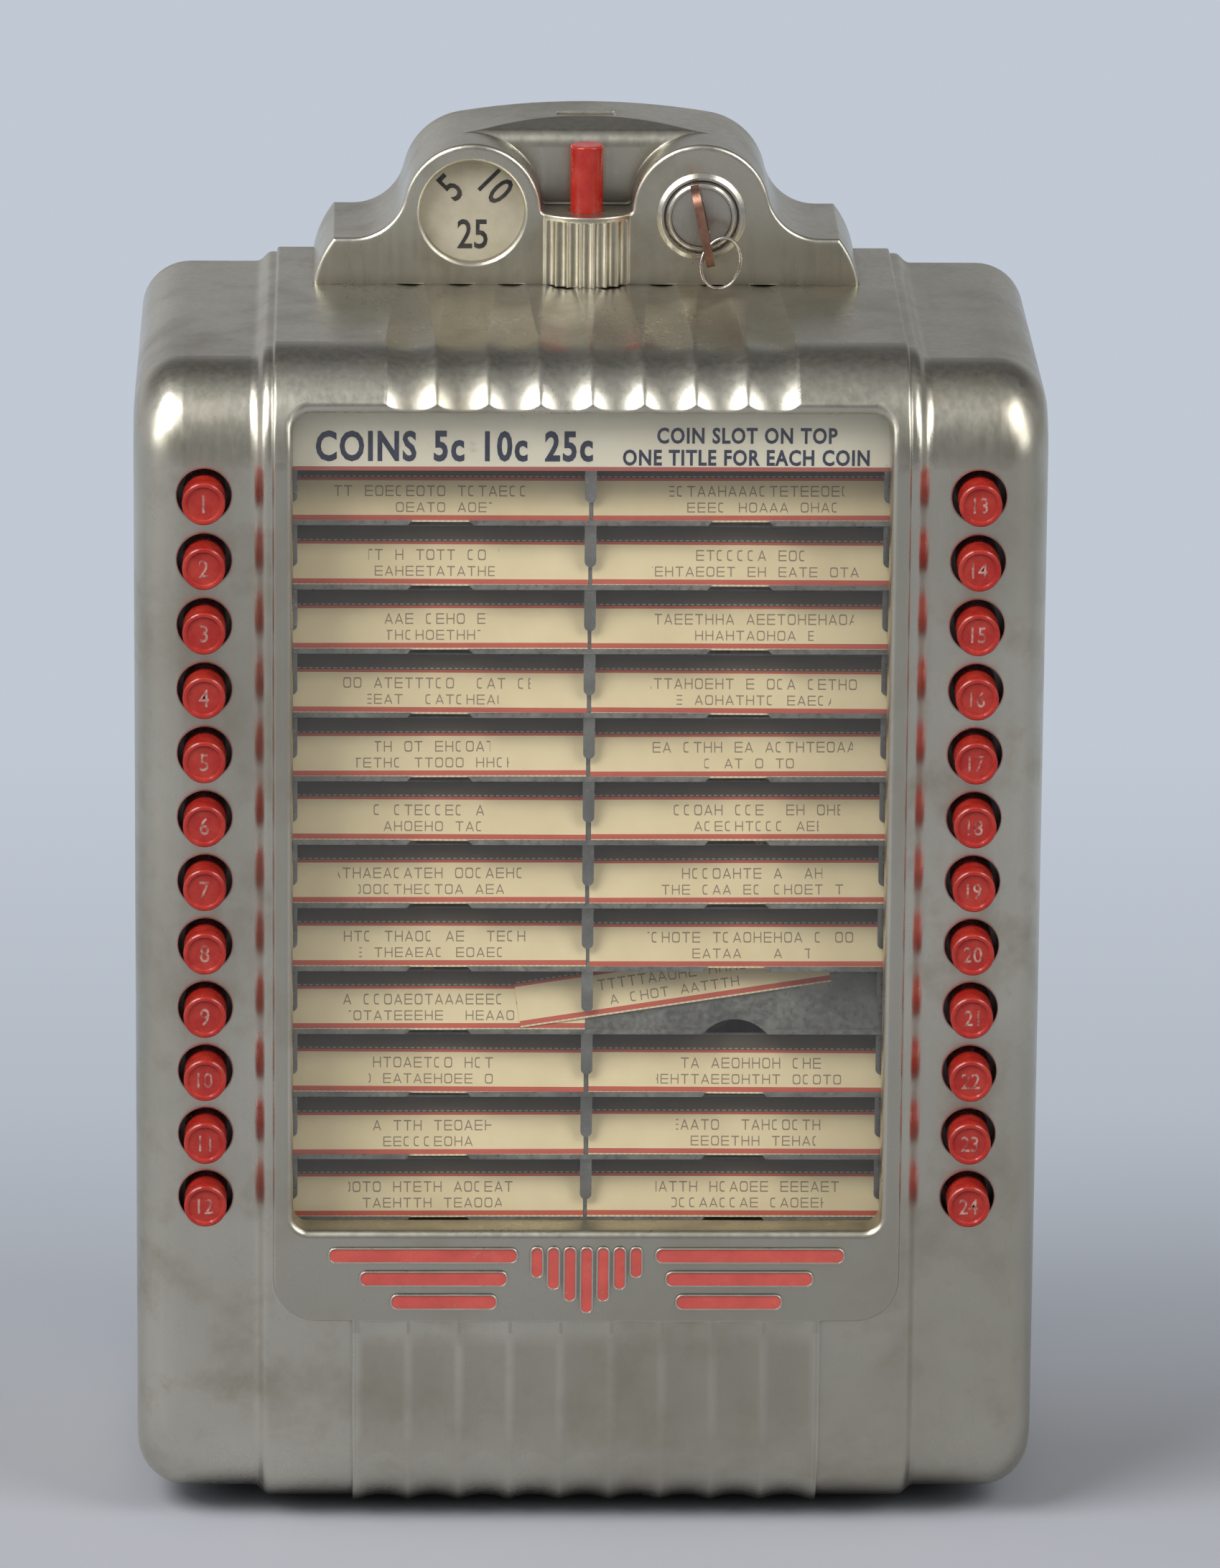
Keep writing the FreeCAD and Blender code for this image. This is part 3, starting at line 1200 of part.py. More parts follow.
def make_lever():
    """Rejector lever: the plunger's stem pushes its tip down and it turns on its pin."""
    pivot = V(0, d.lever_y, d.lever_z)
    half = V(d.lever_half, 0, 0)
    top = d.inside_high - d.stem_reach - d.slide_gap
    arm = brick((-half.x, half.x), (pivot.y - d.lever_thick, d.rod_y + d.pin_diameter),
                (top - d.lever_thick, top))
    hub = rod(d.hub_diameter, pivot - half, pivot + half)
    web = brick((-half.x, half.x), (pivot.y - d.web_half, pivot.y + d.web_half),
                (pivot.z, top - d.web_drop))
    bore = rod(d.pin_diameter + 2 * d.slide_gap, pivot - half * 2, pivot + half * 2)
    keep(solid("lever", arm.fuse([hub, web]).cut(bore).removeSplitter()), "rejector_lever")


def lever_cradle():
    """Two ears on the rejector with the pin that the lever turns on."""
    pivot = V(0, d.lever_y, d.lever_z)
    near = d.lever_half + d.cradle_gap
    far, back = near + d.cradle_thick, d.rejector_face + d.cradle_thick
    reach = V(far + 2, 0, 0)
    pieces = [rod(d.pin_diameter, pivot - reach, pivot + reach)]
    for across in ((-far, -near), (near, far)):
        pieces.append(brick(across, (pivot.y - d.pin_diameter, back),
                            (pivot.z - d.pin_diameter, pivot.z + d.pin_diameter)))
        pieces.append(brick(across, (d.rejector_face, back),
                            (d.rejector_top - d.rejector_wall, pivot.z + d.pin_diameter)))
    return solid("cradle", pieces[0].fuse(pieces[1:]).removeSplitter())


def make_selector():
    """Cross bar, fibre disc with its studs, geared motor and the wiper that sweeps them."""
    axis = V(0, 0, d.selector_z)

    def turn(diameter, start, end):
        return rod(diameter, axis + V(0, start, 0), axis + V(0, end, 0))
    bore = turn(d.shaft_diameter + 2, d.shaft_y, d.motor_y + 1)
    bar = brick((-d.frame_x, d.frame_x), (d.bridge_y, d.motor_y),
                (axis.z - d.bridge_half, axis.z + d.bridge_half))
    keep(solid("cross_bar", bar.cut(bore)), "selector_bridge")
    keep(solid("fibre_disc", turn(d.disc_diameter, d.disc_y, d.bridge_y).cut(bore)), "selector_disc")
    case = turn(d.motor_diameter, d.motor_y, d.motor_y + d.motor_length)
    gears = upright_bar(axis, d.motor_diameter, d.motor_diameter, d.motor_y, d.motor_y + d.gear_deep)
    shaft = turn(d.shaft_diameter, d.shaft_y, d.motor_y + 1)
    keep(solid("motor", case.fuse([gears, shaft]).removeSplitter()), "selector_motor")
    make_wiper(axis, turn)


def make_wiper(axis, turn):
    """The arm on the motor's shaft, with its brush over the studs."""
    start = d.shaft_y + d.wiper_thick
    tip = axis.z + d.wiper_reach + d.stud_diameter
    hub = turn(d.wiper_hub, start - 1, d.disc_y - d.stud_diameter / 2)
    arm = brick((-d.wiper_half, d.wiper_half), (start, start + d.wiper_thick),
                (axis.z - d.wiper_half * 4, tip))
    brush = brick((-d.brush_half, d.brush_half), (start, d.disc_y - 1 - d.fit_gap),
                  (tip - d.brush_deep, tip))
    hole = turn(d.shaft_diameter + 2 * d.slide_gap, d.shaft_y - 1, d.disc_y)
    keep(solid("wiper", hub.fuse([arm, brush]).cut(hole).removeSplitter()), "wiper_arm")


def make_screws():
    """Screws that hold the crown from below and the glass frame round the window."""
    screws = []
    for spot in crown_screw_places():
        screws.append(screw(spot, V(0, 0, 1), d.deck - d.inside_high + d.screw_grip))
    for across, up in frame_screw_places():
        spot = V(value_of(across), d.face + d.glass_back + d.frame_thick, value_of(up))
        screws.append(screw(spot, V(0, -1, 0), d.frame_thick + d.screw_grip))
    keep(solid("screw_set", Part.makeCompound(screws)), "cover_screws")


def screw(seat, way, length):
    """A cheese-head screw whose head stands on its seat and whose shank runs on."""
    head = rod(d.screw_diameter * d.head_share, seat - way * d.head_tall, seat)
    return head.fuse(rod(d.screw_diameter, seat, seat + way * length))


def crown_screw_places():
    """Seats of the crown's four screws, under the cover's top wall."""
    across, first, second = d.crown_width / 2 - d.crown_screw_in, d.crown_screw_first, d.crown_screw_second
    return [V(side * across, d.crown_face + back, d.inside_high) for side in (-1, 1)
            for back in (first, second)]


def crown_screw_holes():
    """Holes up through the cover's top wall into the crown's feet."""
    slack = V(0, 0, 1)
    return [rod(d.screw_hole, spot - slack, V(spot.x, spot.y, d.deck + d.screw_grip + 1))
            for spot in crown_screw_places()]


def frame_screw_holes():
    """Blind holes in the window's rim for the glass frame's screws."""
    holes = []
    for across, up in frame_screw_places():
        seat = V(value_of(across), d.face + d.glass_back + 1, value_of(up))
        holes.append(rod(d.screw_hole, seat, seat - V(0, d.screw_grip + d.screw_spare, 0)))
    return holes


# ---------------------------------------------------------------- build and write


def build():
    make_castings()
    make_window()
    make_dial()
    make_lock()
    make_key_ring()
    make_coin_return()
    make_buttons()
    make_button_banks()
    make_back_plate()
    make_grommet()
    make_side_frames()
    make_rack()
    make_catch()
    make_coin_path()
    make_lever()
    make_selector()
    make_screws()
    doc.recompute()


def check_and_write():
    """Stop on any failed object or bad shape, then write one STEP file per sub-part."""
    for item in doc.Objects:
        if {"Invalid", "Error"} & set(item.State):
            raise RuntimeError(f"{item.Label} is in state {item.State}")
    os.makedirs("parts", exist_ok=True)
    for label, item in parts.items():
        shape = item.Shape
        if shape.isNull() or not shape.isValid() or not shape.Solids:
            raise RuntimeError(f"{label} has no valid solid")
        shape.exportStep(os.path.join("parts", label + ".step"))


build()
check_and_write()
print(len(parts), "sub-parts written")
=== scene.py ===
# %% [markdown]
# # Dressing a jukebox wall box in Blender
# The wall box was drawn and packed in CAD: cover casting, crown, buttons, window, title rack, mechanism.
# This script loads that frame, leaves its shapes where they are, and gives every part the finish of the
# real thing. What is printed, enamelled or made of paper is modelled here and rides on the CAD bodies.

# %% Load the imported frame
import math
import random
import bpy
from mathutils import Matrix, Vector


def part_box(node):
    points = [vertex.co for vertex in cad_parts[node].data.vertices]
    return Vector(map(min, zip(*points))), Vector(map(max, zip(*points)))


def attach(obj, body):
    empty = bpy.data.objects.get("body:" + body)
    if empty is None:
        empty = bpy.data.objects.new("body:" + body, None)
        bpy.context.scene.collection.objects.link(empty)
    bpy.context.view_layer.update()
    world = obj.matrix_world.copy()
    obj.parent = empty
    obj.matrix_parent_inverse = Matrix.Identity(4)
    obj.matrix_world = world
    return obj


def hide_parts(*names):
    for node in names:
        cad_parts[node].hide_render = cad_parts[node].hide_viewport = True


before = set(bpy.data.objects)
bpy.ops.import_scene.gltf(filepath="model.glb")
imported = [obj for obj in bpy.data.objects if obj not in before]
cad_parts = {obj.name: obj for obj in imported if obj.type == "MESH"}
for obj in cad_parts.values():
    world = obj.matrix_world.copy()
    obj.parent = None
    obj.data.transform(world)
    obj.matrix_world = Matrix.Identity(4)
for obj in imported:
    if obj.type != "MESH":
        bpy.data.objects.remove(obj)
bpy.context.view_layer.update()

# %% [markdown]
# ## Places taken from the CAD parts
# Blender counts in metres, and the wall box is drawn in millimetres. Two helpers read the box of a CAD
# part in millimetres, so that a figure or a strip is placed from the part that carries it. Typed places
# would do as well, but they stay behind when the part moves.

# %% Corners and middles in millimetres
MM = 0.001


def lowest(node):
    """The left, front and lower sides of a CAD part."""
    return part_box(node)[0] / MM


def middle(node):
    low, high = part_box(node)
    return (low + high) / 2 / MM


COVER_FRONT = lowest("cover_shell").y
print(f"front of the cover: y {COVER_FRONT:.2f} mm")

# %% [markdown]
# ## Camera
# A long lens far away keeps the sides of the box almost parallel, as in a catalogue picture. The camera
# stands a little left of the middle and looks down by sixteen degrees. Its matrix is built from three
# angles, because that is exact, where aiming with a constraint would need a target to be guessed. The
# Standard view transform shows each colour about as it is written in its material.

# %% Place the camera
CAMERA_PLACE = Vector((-0.05298, -2.53110, 0.88934))
YAW, PITCH, ROLL = (math.radians(angle) for angle in (1.33858, 15.83795, 0.46242))
LENS, SENSOR, FAR_END = 246.9, 36, 20


def add_camera():
    ahead = Vector((math.sin(YAW) * math.cos(PITCH), math.cos(YAW) * math.cos(PITCH), -math.sin(PITCH)))
    level = Vector((math.cos(YAW), -math.sin(YAW), 0))
    upright = level.cross(ahead)
    right = math.cos(ROLL) * level + math.sin(ROLL) * upright
    up = -math.sin(ROLL) * level + math.cos(ROLL) * upright
    bpy.ops.object.camera_add(location=CAMERA_PLACE)
    camera = bpy.context.object
    turn = Matrix((right, up, -ahead)).transposed()
    camera.matrix_world = Matrix.Translation(CAMERA_PLACE) @ turn.to_4x4()
    camera.data.sensor_width = SENSOR
    camera.data.lens = LENS
    camera.data.clip_end = FAR_END
    return camera


bpy.context.scene.camera = add_camera()
bpy.context.scene.view_settings.view_transform = "Standard"
print("camera at", tuple(bpy.context.scene.camera.location))

# %% [markdown]
# ## Helpers for node materials
# Every finish below is a small graph of nodes. Building one takes many calls that look alike, so a few
# helpers keep the graphs readable: one adds a node and wires its inputs, one starts a material with a
# Principled shader, and the rest name the steps that come back in every finish, such as a noise, a
# spread of its values and a blend of two colours.

# %% Helpers for shader graphs


def add_node(tree, kind, inputs=None, **settings):
    made = tree.nodes.new("ShaderNode" + kind)
    for key, value in settings.items():
        setattr(made, key, value)
    for key, value in (inputs or {}).items():
        if isinstance(value, bpy.types.NodeSocket):
            tree.links.new(value, made.inputs[key])
        else:
            made.inputs[key].default_value = value
    return made


def start_material(name, **constants):
    material = bpy.data.materials.new(name)
    material.use_nodes = True
    tree = material.node_tree
    shader = tree.nodes["Principled BSDF"]
    for key, value in constants.items():
        shader.inputs[key.replace("_", " ")].default_value = value
    place = add_node(tree, "TexCoord").outputs["Object"]
    return material, tree, shader, place


def noise(tree, place, scale, detail=4, rough=0.5, stretch=None):
    if stretch:
        place = add_node(tree, "Mapping", {"Vector": place, "Scale": stretch}).outputs["Vector"]
    made = add_node(tree, "TexNoise", {"Vector": place, "Scale": scale, "Detail": detail,
                                       "Roughness": rough})
    return made.outputs["Fac"]


def spread(tree, value, low, high, start=0.35, end=0.65):
    """Low up to the start, high from the end on, and even steps between them."""
    made = add_node(tree, "MapRange", {"Value": value, "From Min": start, "From Max": end,
                                       "To Min": low, "To Max": high})
    return made.outputs["Result"]


def blend(tree, factor, first, second):
    """A mix of two colours, which this node takes on its inputs 6 and 7 and gives on its output 2."""
    made = add_node(tree, "Mix", data_type="RGBA")
    for socket, value in ((0, factor), (6, first), (7, second)):
        if isinstance(value, bpy.types.NodeSocket):
            tree.links.new(value, made.inputs[socket])
        else:
            made.inputs[socket].default_value = value if socket == 0 else (*value, 1)
    return made.outputs[2]


def maths(tree, operation, first, second=0.0, third=0.0):
    made = add_node(tree, "Math", {0: first, 1: second, 2: third}, operation=operation)
    return made.outputs[0]


def both(tree, first, second):
    return maths(tree, "MULTIPLY", first, second)


def either(tree, first, second):
    return maths(tree, "MAXIMUM", first, second)


def between(tree, value, low, high):
    return both(tree, maths(tree, "GREATER_THAN", value, low), maths(tree, "LESS_THAN", value, high))


def roughen(tree, shader, height, distance, strength, under=None):
    inputs = {"Height": height, "Distance": distance, "Strength": strength}
    if under:
        inputs["Normal"] = under
    made = add_node(tree, "Bump", inputs)
    tree.links.new(made.outputs["Normal"], shader.inputs["Normal"])


print("materials before the first finish:", len(bpy.data.materials))

# %% [markdown]
# ## Plated casting
# The cover and crown are die castings with a satin nickel plate. Such a plate is a metal all the way, so
# its colour is a reflection colour. Years of hands leave it mottled: darker in clouds, stained in
# patches and specks, with small dark pits. Noise at several scales gives each of them its own size.

# %% Mottled plate
STAIN_AND_SHADE_TINT = (0.84, 0.80, 0.73)
PIT_DARK = (0.12, 0.10, 0.085)


def dimmed(colour, share):
    return tuple(channel * share for channel in colour)


# The tint of real stains, also used for the painted shade in the flute hollows.
def stained(dark):
    return tuple(channel * tint for channel, tint in zip(dark, STAIN_AND_SHADE_TINT))


def mottled_plate(tree, place, clouds, patches, light, dark):
    speckle = noise(tree, place, 210, detail=5, rough=0.7)
    pits = noise(tree, place, 330, detail=3, rough=0.75)
    toned = blend(tree, spread(tree, clouds, 0, 1, 0.36, 0.64), light, dark)
    toned = blend(tree, spread(tree, patches, 0, 0.75, 0.50, 0.68), toned, stained(dark))
    toned = blend(tree, spread(tree, speckle, 0, 0.3, 0.60, 0.74), toned, stained(dark))
    return blend(tree, spread(tree, pits, 0, 0.4, 0.73, 0.78), toned, PIT_DARK)


print("stain of a mid grey:", stained((0.5, 0.5, 0.5)))

# %% [markdown]
# Two places on the front differ from the rest. The hollows of the flutes below the nameplate get painted
# shade, and the nameplate itself was left duller. Both are found by their place: a hollow lies a
# little behind the front of the cover, between two heights and not too far out to the sides.

# %% Painted shade in the flute hollows, and the dull nameplate
RIDGE_BACK, HOLLOW_BACK, FLUTE_DEEPEST = 0.05, 0.45, 2.1
FLUTES_HALF = 56
FLUTE_SHADE_STARTS, FLUTE_SHADE_ENDS = (14, 30), (46, 50)
NAMEPLATE_LOW, NAMEPLATE_BACK = 50, 0.1


def grimy_flutes(tree, spot, toned, dark):
    # Painted shade: a flute hollow gets darker the further it lies behind the ridges.
    hollow = spread(tree, spot["Y"], 0, 0.42, (COVER_FRONT + RIDGE_BACK) * MM,
                    (COVER_FRONT + HOLLOW_BACK) * MM)
    rise = both(tree, spread(tree, spot["Z"], 0, 1, *(height * MM for height in FLUTE_SHADE_STARTS)),
                spread(tree, spot["Z"], 1, 0, *(height * MM for height in FLUTE_SHADE_ENDS)))
    near_middle = maths(tree, "LESS_THAN", maths(tree, "ABSOLUTE", spot["X"]), FLUTES_HALF * MM)
    in_front = maths(tree, "LESS_THAN", spot["Y"], (COVER_FRONT + FLUTE_DEEPEST) * MM)
    fluted = both(tree, both(tree, rise, near_middle), in_front)
    return blend(tree, both(tree, hollow, fluted), toned, dimmed(stained(dark), 0.86))


def dull_nameplate(tree, spot, toned, dark):
    nameplate = both(tree, maths(tree, "GREATER_THAN", spot["Z"], NAMEPLATE_LOW * MM),
                     maths(tree, "LESS_THAN", spot["Y"], (COVER_FRONT + NAMEPLATE_BACK) * MM))
    return blend(tree, both(tree, nameplate, 0.6), toned, dimmed(dark, 0.88))


print("nameplate from", NAMEPLATE_LOW, "mm up")

# %% [markdown]
# Hands polish the edges, and their lighter colour also serves as a painted highlight. Corners get
# painted shade with some dirt. The Bevel node gives the normal that a rounded edge would have, and
# where it leaves the true normal, there is an edge. The Ambient Occlusion node tells how open a place
# is, so a low value is a corner. Neither changes the shape.

# %% Polished and highlighted edges, shaded and dirty corners
SHADE_AND_DIRT_DARK, SHADE_AND_DIRT_REACH = (0.10, 0.085, 0.07), 9


def bright_edges(tree, toned, light, soft_edge):
    rounded_normal = add_node(tree, "Bevel", {"Radius": soft_edge * MM}, samples=6).outputs["Normal"]
    flat = add_node(tree, "NewGeometry").outputs["Normal"]
    alike = add_node(tree, "VectorMath", {0: rounded_normal, 1: flat}, operation="DOT_PRODUCT").outputs["Value"]
    # Painted highlight with some real polish: the colour is lightened where the bevel normal leaves the
    # true normal, on edges and ridges.
    polish_and_highlight = spread(tree, alike, 0.55, 0, 0.93, 0.997)
    return blend(tree, polish_and_highlight, toned, dimmed(light, 1.35)), rounded_normal


def dirty_corners(tree, toned):
    # Painted shade with some dirt: places that ambient occlusion finds enclosed are darkened.
    open_air = add_node(tree, "AmbientOcclusion", {"Distance": SHADE_AND_DIRT_REACH * MM}, samples=8).outputs["AO"]
    return blend(tree, spread(tree, open_air, 0.65, 0, 0.30, 0.72), toned, SHADE_AND_DIRT_DARK)


print("dirt reaches", SHADE_AND_DIRT_REACH, "mm out of a corner")

# %% [markdown]
# The plate is these layers one over the other. Its roughness comes from fine rubbed lines, which are
# noise stretched along the height, and from the same patches that stain the colour, so that a stain is
# duller too. The lock is plated like the cover, but smoother.

# %% Satin nickel


def satin_nickel(name, light, dark, smooth, dull, soft_edge=0.7):
    material, tree, shader, place = start_material(name, Metallic=1.0)
    spot = add_node(tree, "SeparateXYZ", {0: place}).outputs
    clouds = noise(tree, place, 9, detail=5, rough=0.55)
    patches = noise(tree, place, 38, detail=6, rough=0.65)
    rubbed = noise(tree, place, 60, detail=4, rough=0.6, stretch=(9, 9, 0.7))
    grain = noise(tree, place, 1500, detail=2)
    toned = mottled_plate(tree, place, clouds, patches, light, dark)
    # Painted shade in the flute hollows and corners, and a painted highlight on the edges, go into the
    # colour here.
    toned = grimy_flutes(tree, spot, toned, dark)
    toned = dull_nameplate(tree, spot, toned, dark)
    toned, rounded_normal = bright_edges(tree, toned, light, soft_edge)
    tree.links.new(dirty_corners(tree, toned), shader.inputs["Base Color"])
    wear = maths(tree, "MULTIPLY_ADD", spread(tree, rubbed, 0, 1), 0.45,
                 spread(tree, patches, 0, 0.55, 0.35, 0.7))
    tree.links.new(spread(tree, wear, smooth, dull, 0.0, 1.0), shader.inputs["Roughness"])
    height = maths(tree, "MULTIPLY_ADD", clouds, 0.6, both(tree, grain, 0.05))
    roughen(tree, shader, height, 0.5 * MM, 0.32, under=rounded_normal)
    return material


casting_plate = satin_nickel("casting_plate", (0.62, 0.59, 0.50), (0.47, 0.445, 0.365), 0.24, 0.39)
lock_plate = satin_nickel("lock_plate", (0.60, 0.575, 0.51), (0.48, 0.46, 0.40), 0.19, 0.33, 0.2)
print("plated finishes:", casting_plate.name, lock_plate.name)

# %% [markdown]
# ## Steel, copper, fibre and rubber
# The works behind the cover are zinc-plated steel, painted steel, fibre board and brass. Each finish is
# a base colour broken by noise, and a roughness that never quite stays the same. They differ only in
# their numbers, so one function makes them all, and a table gives each finish to a slot of the record.

# %% Plain finishes


def plain_finish(name, light, dark, smooth, dull, scale=60, **constants):
    material, tree, shader, place = start_material(name, **constants)
    clouds = noise(tree, place, scale, detail=6, rough=0.6)
    fine = noise(tree, place, scale * 9, detail=3)
    toned = blend(tree, spread(tree, clouds, 0, 1), light, dark)
    tree.links.new(toned, shader.inputs["Base Color"])
    tree.links.new(spread(tree, fine, smooth, dull), shader.inputs["Roughness"])
    roughen(tree, shader, fine, 0.08 * MM, 0.6)
    return material


FINISHES = {
    "zinc_steel": plain_finish("zinc_plate", (0.50, 0.50, 0.49), (0.36, 0.36, 0.34), 0.34, 0.52,
                               Metallic=1.0),
    "dial_face": plain_finish("dial_cream", (0.47, 0.43, 0.33), (0.40, 0.355, 0.26), 0.35, 0.5,
                              scale=150),
    "key_brass": plain_finish("worn_copper", (0.46, 0.25, 0.17), (0.26, 0.14, 0.10), 0.30, 0.46,
                              scale=260, Metallic=1.0),
    "ring_wire": plain_finish("steel_wire", (0.50, 0.47, 0.44), (0.30, 0.25, 0.22), 0.2, 0.35,
                              scale=300, Metallic=1.0),
    "spring_wire": plain_finish("spring_steel", (0.52, 0.52, 0.52), (0.38, 0.37, 0.36), 0.22, 0.36,
                                scale=300, Metallic=1.0),
    "grommet_rubber": plain_finish("black_rubber", (0.030, 0.030, 0.030), (0.015, 0.015, 0.016), 0.6,
                                   0.85, scale=120),
    "fibre_board": plain_finish("brown_fibre", (0.23, 0.115, 0.05), (0.13, 0.06, 0.03), 0.45, 0.7,
                                scale=90),
    "contact_brass": plain_finish("contact_brass", (0.72, 0.52, 0.22), (0.5, 0.34, 0.13), 0.2, 0.38,
                                  scale=300, Metallic=1.0),
    "holder_paint": plain_finish("holder_grey", (0.36, 0.37, 0.37), (0.22, 0.225, 0.23), 0.25, 0.5,
                                 scale=80, Metallic=0.85),
    "motor_paint": plain_finish("motor_black", (0.022, 0.022, 0.024), (0.012, 0.012, 0.013), 0.35, 0.6,
                                scale=140),
    "printed_card": plain_finish("card_stock", (0.64, 0.63, 0.58), (0.53, 0.51, 0.46), 0.45, 0.6,
                                 scale=70),
    "title_paper": plain_finish("strip_paper", (0.72, 0.64, 0.46), (0.62, 0.54, 0.38), 0.5, 0.65,
                                scale=70),
    "plated_casting": casting_plate,
    "lock_nickel": lock_plate,
}
print("finishes:", sorted(FINISHES))

# %% [markdown]
# ## Red plastic
# The buttons and the return plunger are moulded from the same red plastic. It is glossy where fingers
# polish it, and a little faded and scuffed in patches. A thin clear coat gives the gloss, and the noise
# under it breaks up the red.

# %% Moulded red


def moulded_red():
    material, tree, shader, place = start_material("moulded_red", Coat_Weight=0.35, Coat_Roughness=0.07,
                                                   Specular_IOR_Level=0.3)
    faded = noise(tree, place, 240, detail=6, rough=0.65)
    scuffs = noise(tree, place, 700, detail=4, rough=0.7)
    toned = blend(tree, spread(tree, faded, 0, 1, 0.4, 0.68), (0.34, 0.013, 0.008), (0.43, 0.035, 0.020))
    toned = blend(tree, spread(tree, scuffs, 0, 0.6, 0.62, 0.74), toned, (0.17, 0.016, 0.014))
    tree.links.new(toned, shader.inputs["Base Color"])
    tree.links.new(spread(tree, scuffs, 0.18, 0.34), shader.inputs["Roughness"])
    roughen(tree, shader, scuffs, 0.04 * MM, 0.4)
    return material


FINISHES["red_plastic"] = moulded_red()
print("red finish:", FINISHES["red_plastic"].name)

# %% [markdown]
# ## Window glass
# A solid refracting block would darken everything behind it, because the renderer would have to trace
# each lamp through it. A clear sheet is better made as part see-through, part mirror. The share of
# mirror rises towards grazing angles, and is the same from both sides, so no light is lost inside.

# %% Clear pane
MIRROR_LEAST, MIRROR_GAIN, MIRROR_CURVE = 0.035, 0.8, 5.0


def clear_pane():
    material, tree, shader, place = start_material("clear_pane")
    tree.nodes.remove(shader)
    smears = noise(tree, place, 40, detail=5, rough=0.6)
    through = add_node(tree, "BsdfTransparent", {"Color": (0.97, 0.96, 0.93, 1)})
    gloss = add_node(tree, "BsdfGlossy", {"Color": (1, 1, 1, 1),
                                          "Roughness": spread(tree, smears, 0.03, 0.12)})
    facing = add_node(tree, "LayerWeight", {"Blend": 0.5}).outputs["Facing"]
    grazing = maths(tree, "POWER", facing, MIRROR_CURVE)
    mirror = maths(tree, "MULTIPLY_ADD", grazing, MIRROR_GAIN, MIRROR_LEAST)
    mix = add_node(tree, "MixShader", {0: mirror, 1: through.outputs[0], 2: gloss.outputs[0]})
    tree.links.new(mix.outputs[0], tree.nodes["Material Output"].inputs["Surface"])
    return material


FINISHES["window_glass"] = clear_pane()
print("glass:", FINISHES["window_glass"].name)

# %% [markdown]
# ## Finishes on the CAD parts
# Each CAD part was packed with a material named for its slot, such as plated_casting. That name picks
# the finish, so no list of parts is needed here. Only the material slots change, never the meshes.

# %% Give each CAD part its finish


def slot_of_nodes():
    """The record's material slot of each CAD part, read from the material it was packed with."""
    return {name: part.data.materials[0].name.split(".")[0] for name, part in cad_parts.items()}


def finish_parts():
    for name, slot in slot_of_nodes().items():
        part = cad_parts[name]
        part.data.materials.clear()
        part.data.materials.append(FINISHES[slot])


print(sorted(set(slot_of_nodes().values())))
finish_parts()

# %% [markdown]
# ## Making pieces by hand
# The next pieces are modelled with the same operators as in the window: add a primitive, shape it in
# edit mode, apply its modifiers. After loading, every CAD part is still selected, so each piece starts
# by clearing the selection, and ends by baking its place into its mesh.

# %% Helpers for modelling


def clear_selection():
    if bpy.context.object and bpy.context.object.mode != "OBJECT":
        bpy.ops.object.mode_set(mode="OBJECT")
    bpy.ops.object.select_all(action="DESELECT")


def settle(piece):
    clear_selection()
    piece.select_set(True)
    bpy.context.view_layer.objects.active = piece
    bpy.ops.object.transform_apply(location=True, rotation=True, scale=True)
    return piece


def pick_faces(piece, wanted):
    """Select only the faces that a test picks, and stay in edit mode for the next operator."""
    bpy.ops.object.mode_set(mode="EDIT")
    bpy.ops.mesh.select_mode(type="FACE")
    bpy.ops.mesh.select_all(action="DESELECT")
    bpy.ops.object.mode_set(mode="OBJECT")
    for face in piece.data.polygons:
        face.select = wanted(face)
    bpy.ops.object.mode_set(mode="EDIT")


def finish_piece(piece, name, material, body):
    piece.name = piece.data.name = name
    piece.data.materials.clear()
    piece.data.materials.append(material)
    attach(piece, body)


# %% [markdown]
# ## Inks and paints
# Printed figures are not pure black: ink sinks into card and wears off plastic. Each ink is a dark
# colour mixed with a little noise; the paint in the buttons' numbers has mostly worn back to red.

# %% Inks


def ink(name, light, dark, scale, rough=0.6):
    material, tree, shader, place = start_material(name, Roughness=rough)
    worn = noise(tree, place, scale, detail=5, rough=0.7)
    tree.links.new(blend(tree, spread(tree, worn, 0, 1, 0.42, 0.62), dark, light),
                   shader.inputs["Base Color"])
    return material


dial_ink = ink("dial_ink", (0.045, 0.04, 0.035), (0.018, 0.016, 0.015), 300)
card_ink = ink("card_ink", (0.040, 0.050, 0.105), (0.018, 0.024, 0.062), 260)
number_paint = ink("number_paint", (0.52, 0.33, 0.28), (0.28, 0.035, 0.025), 420, rough=0.45)
print("inks:", dial_ink.name, card_ink.name, number_paint.name)

# %% [markdown]
# ## Printed and pressed figures
# Figures are made as text and converted to thin meshes, because a mesh keeps its place and can be
# exported as it is. Text lies flat and reads from above, so it is scaled to its height, stood up to
# face the front, and turned where the print is turned.

# %% A figure as a thin mesh
HALF_THICK, CURVE_STEPS = 0.1, 3


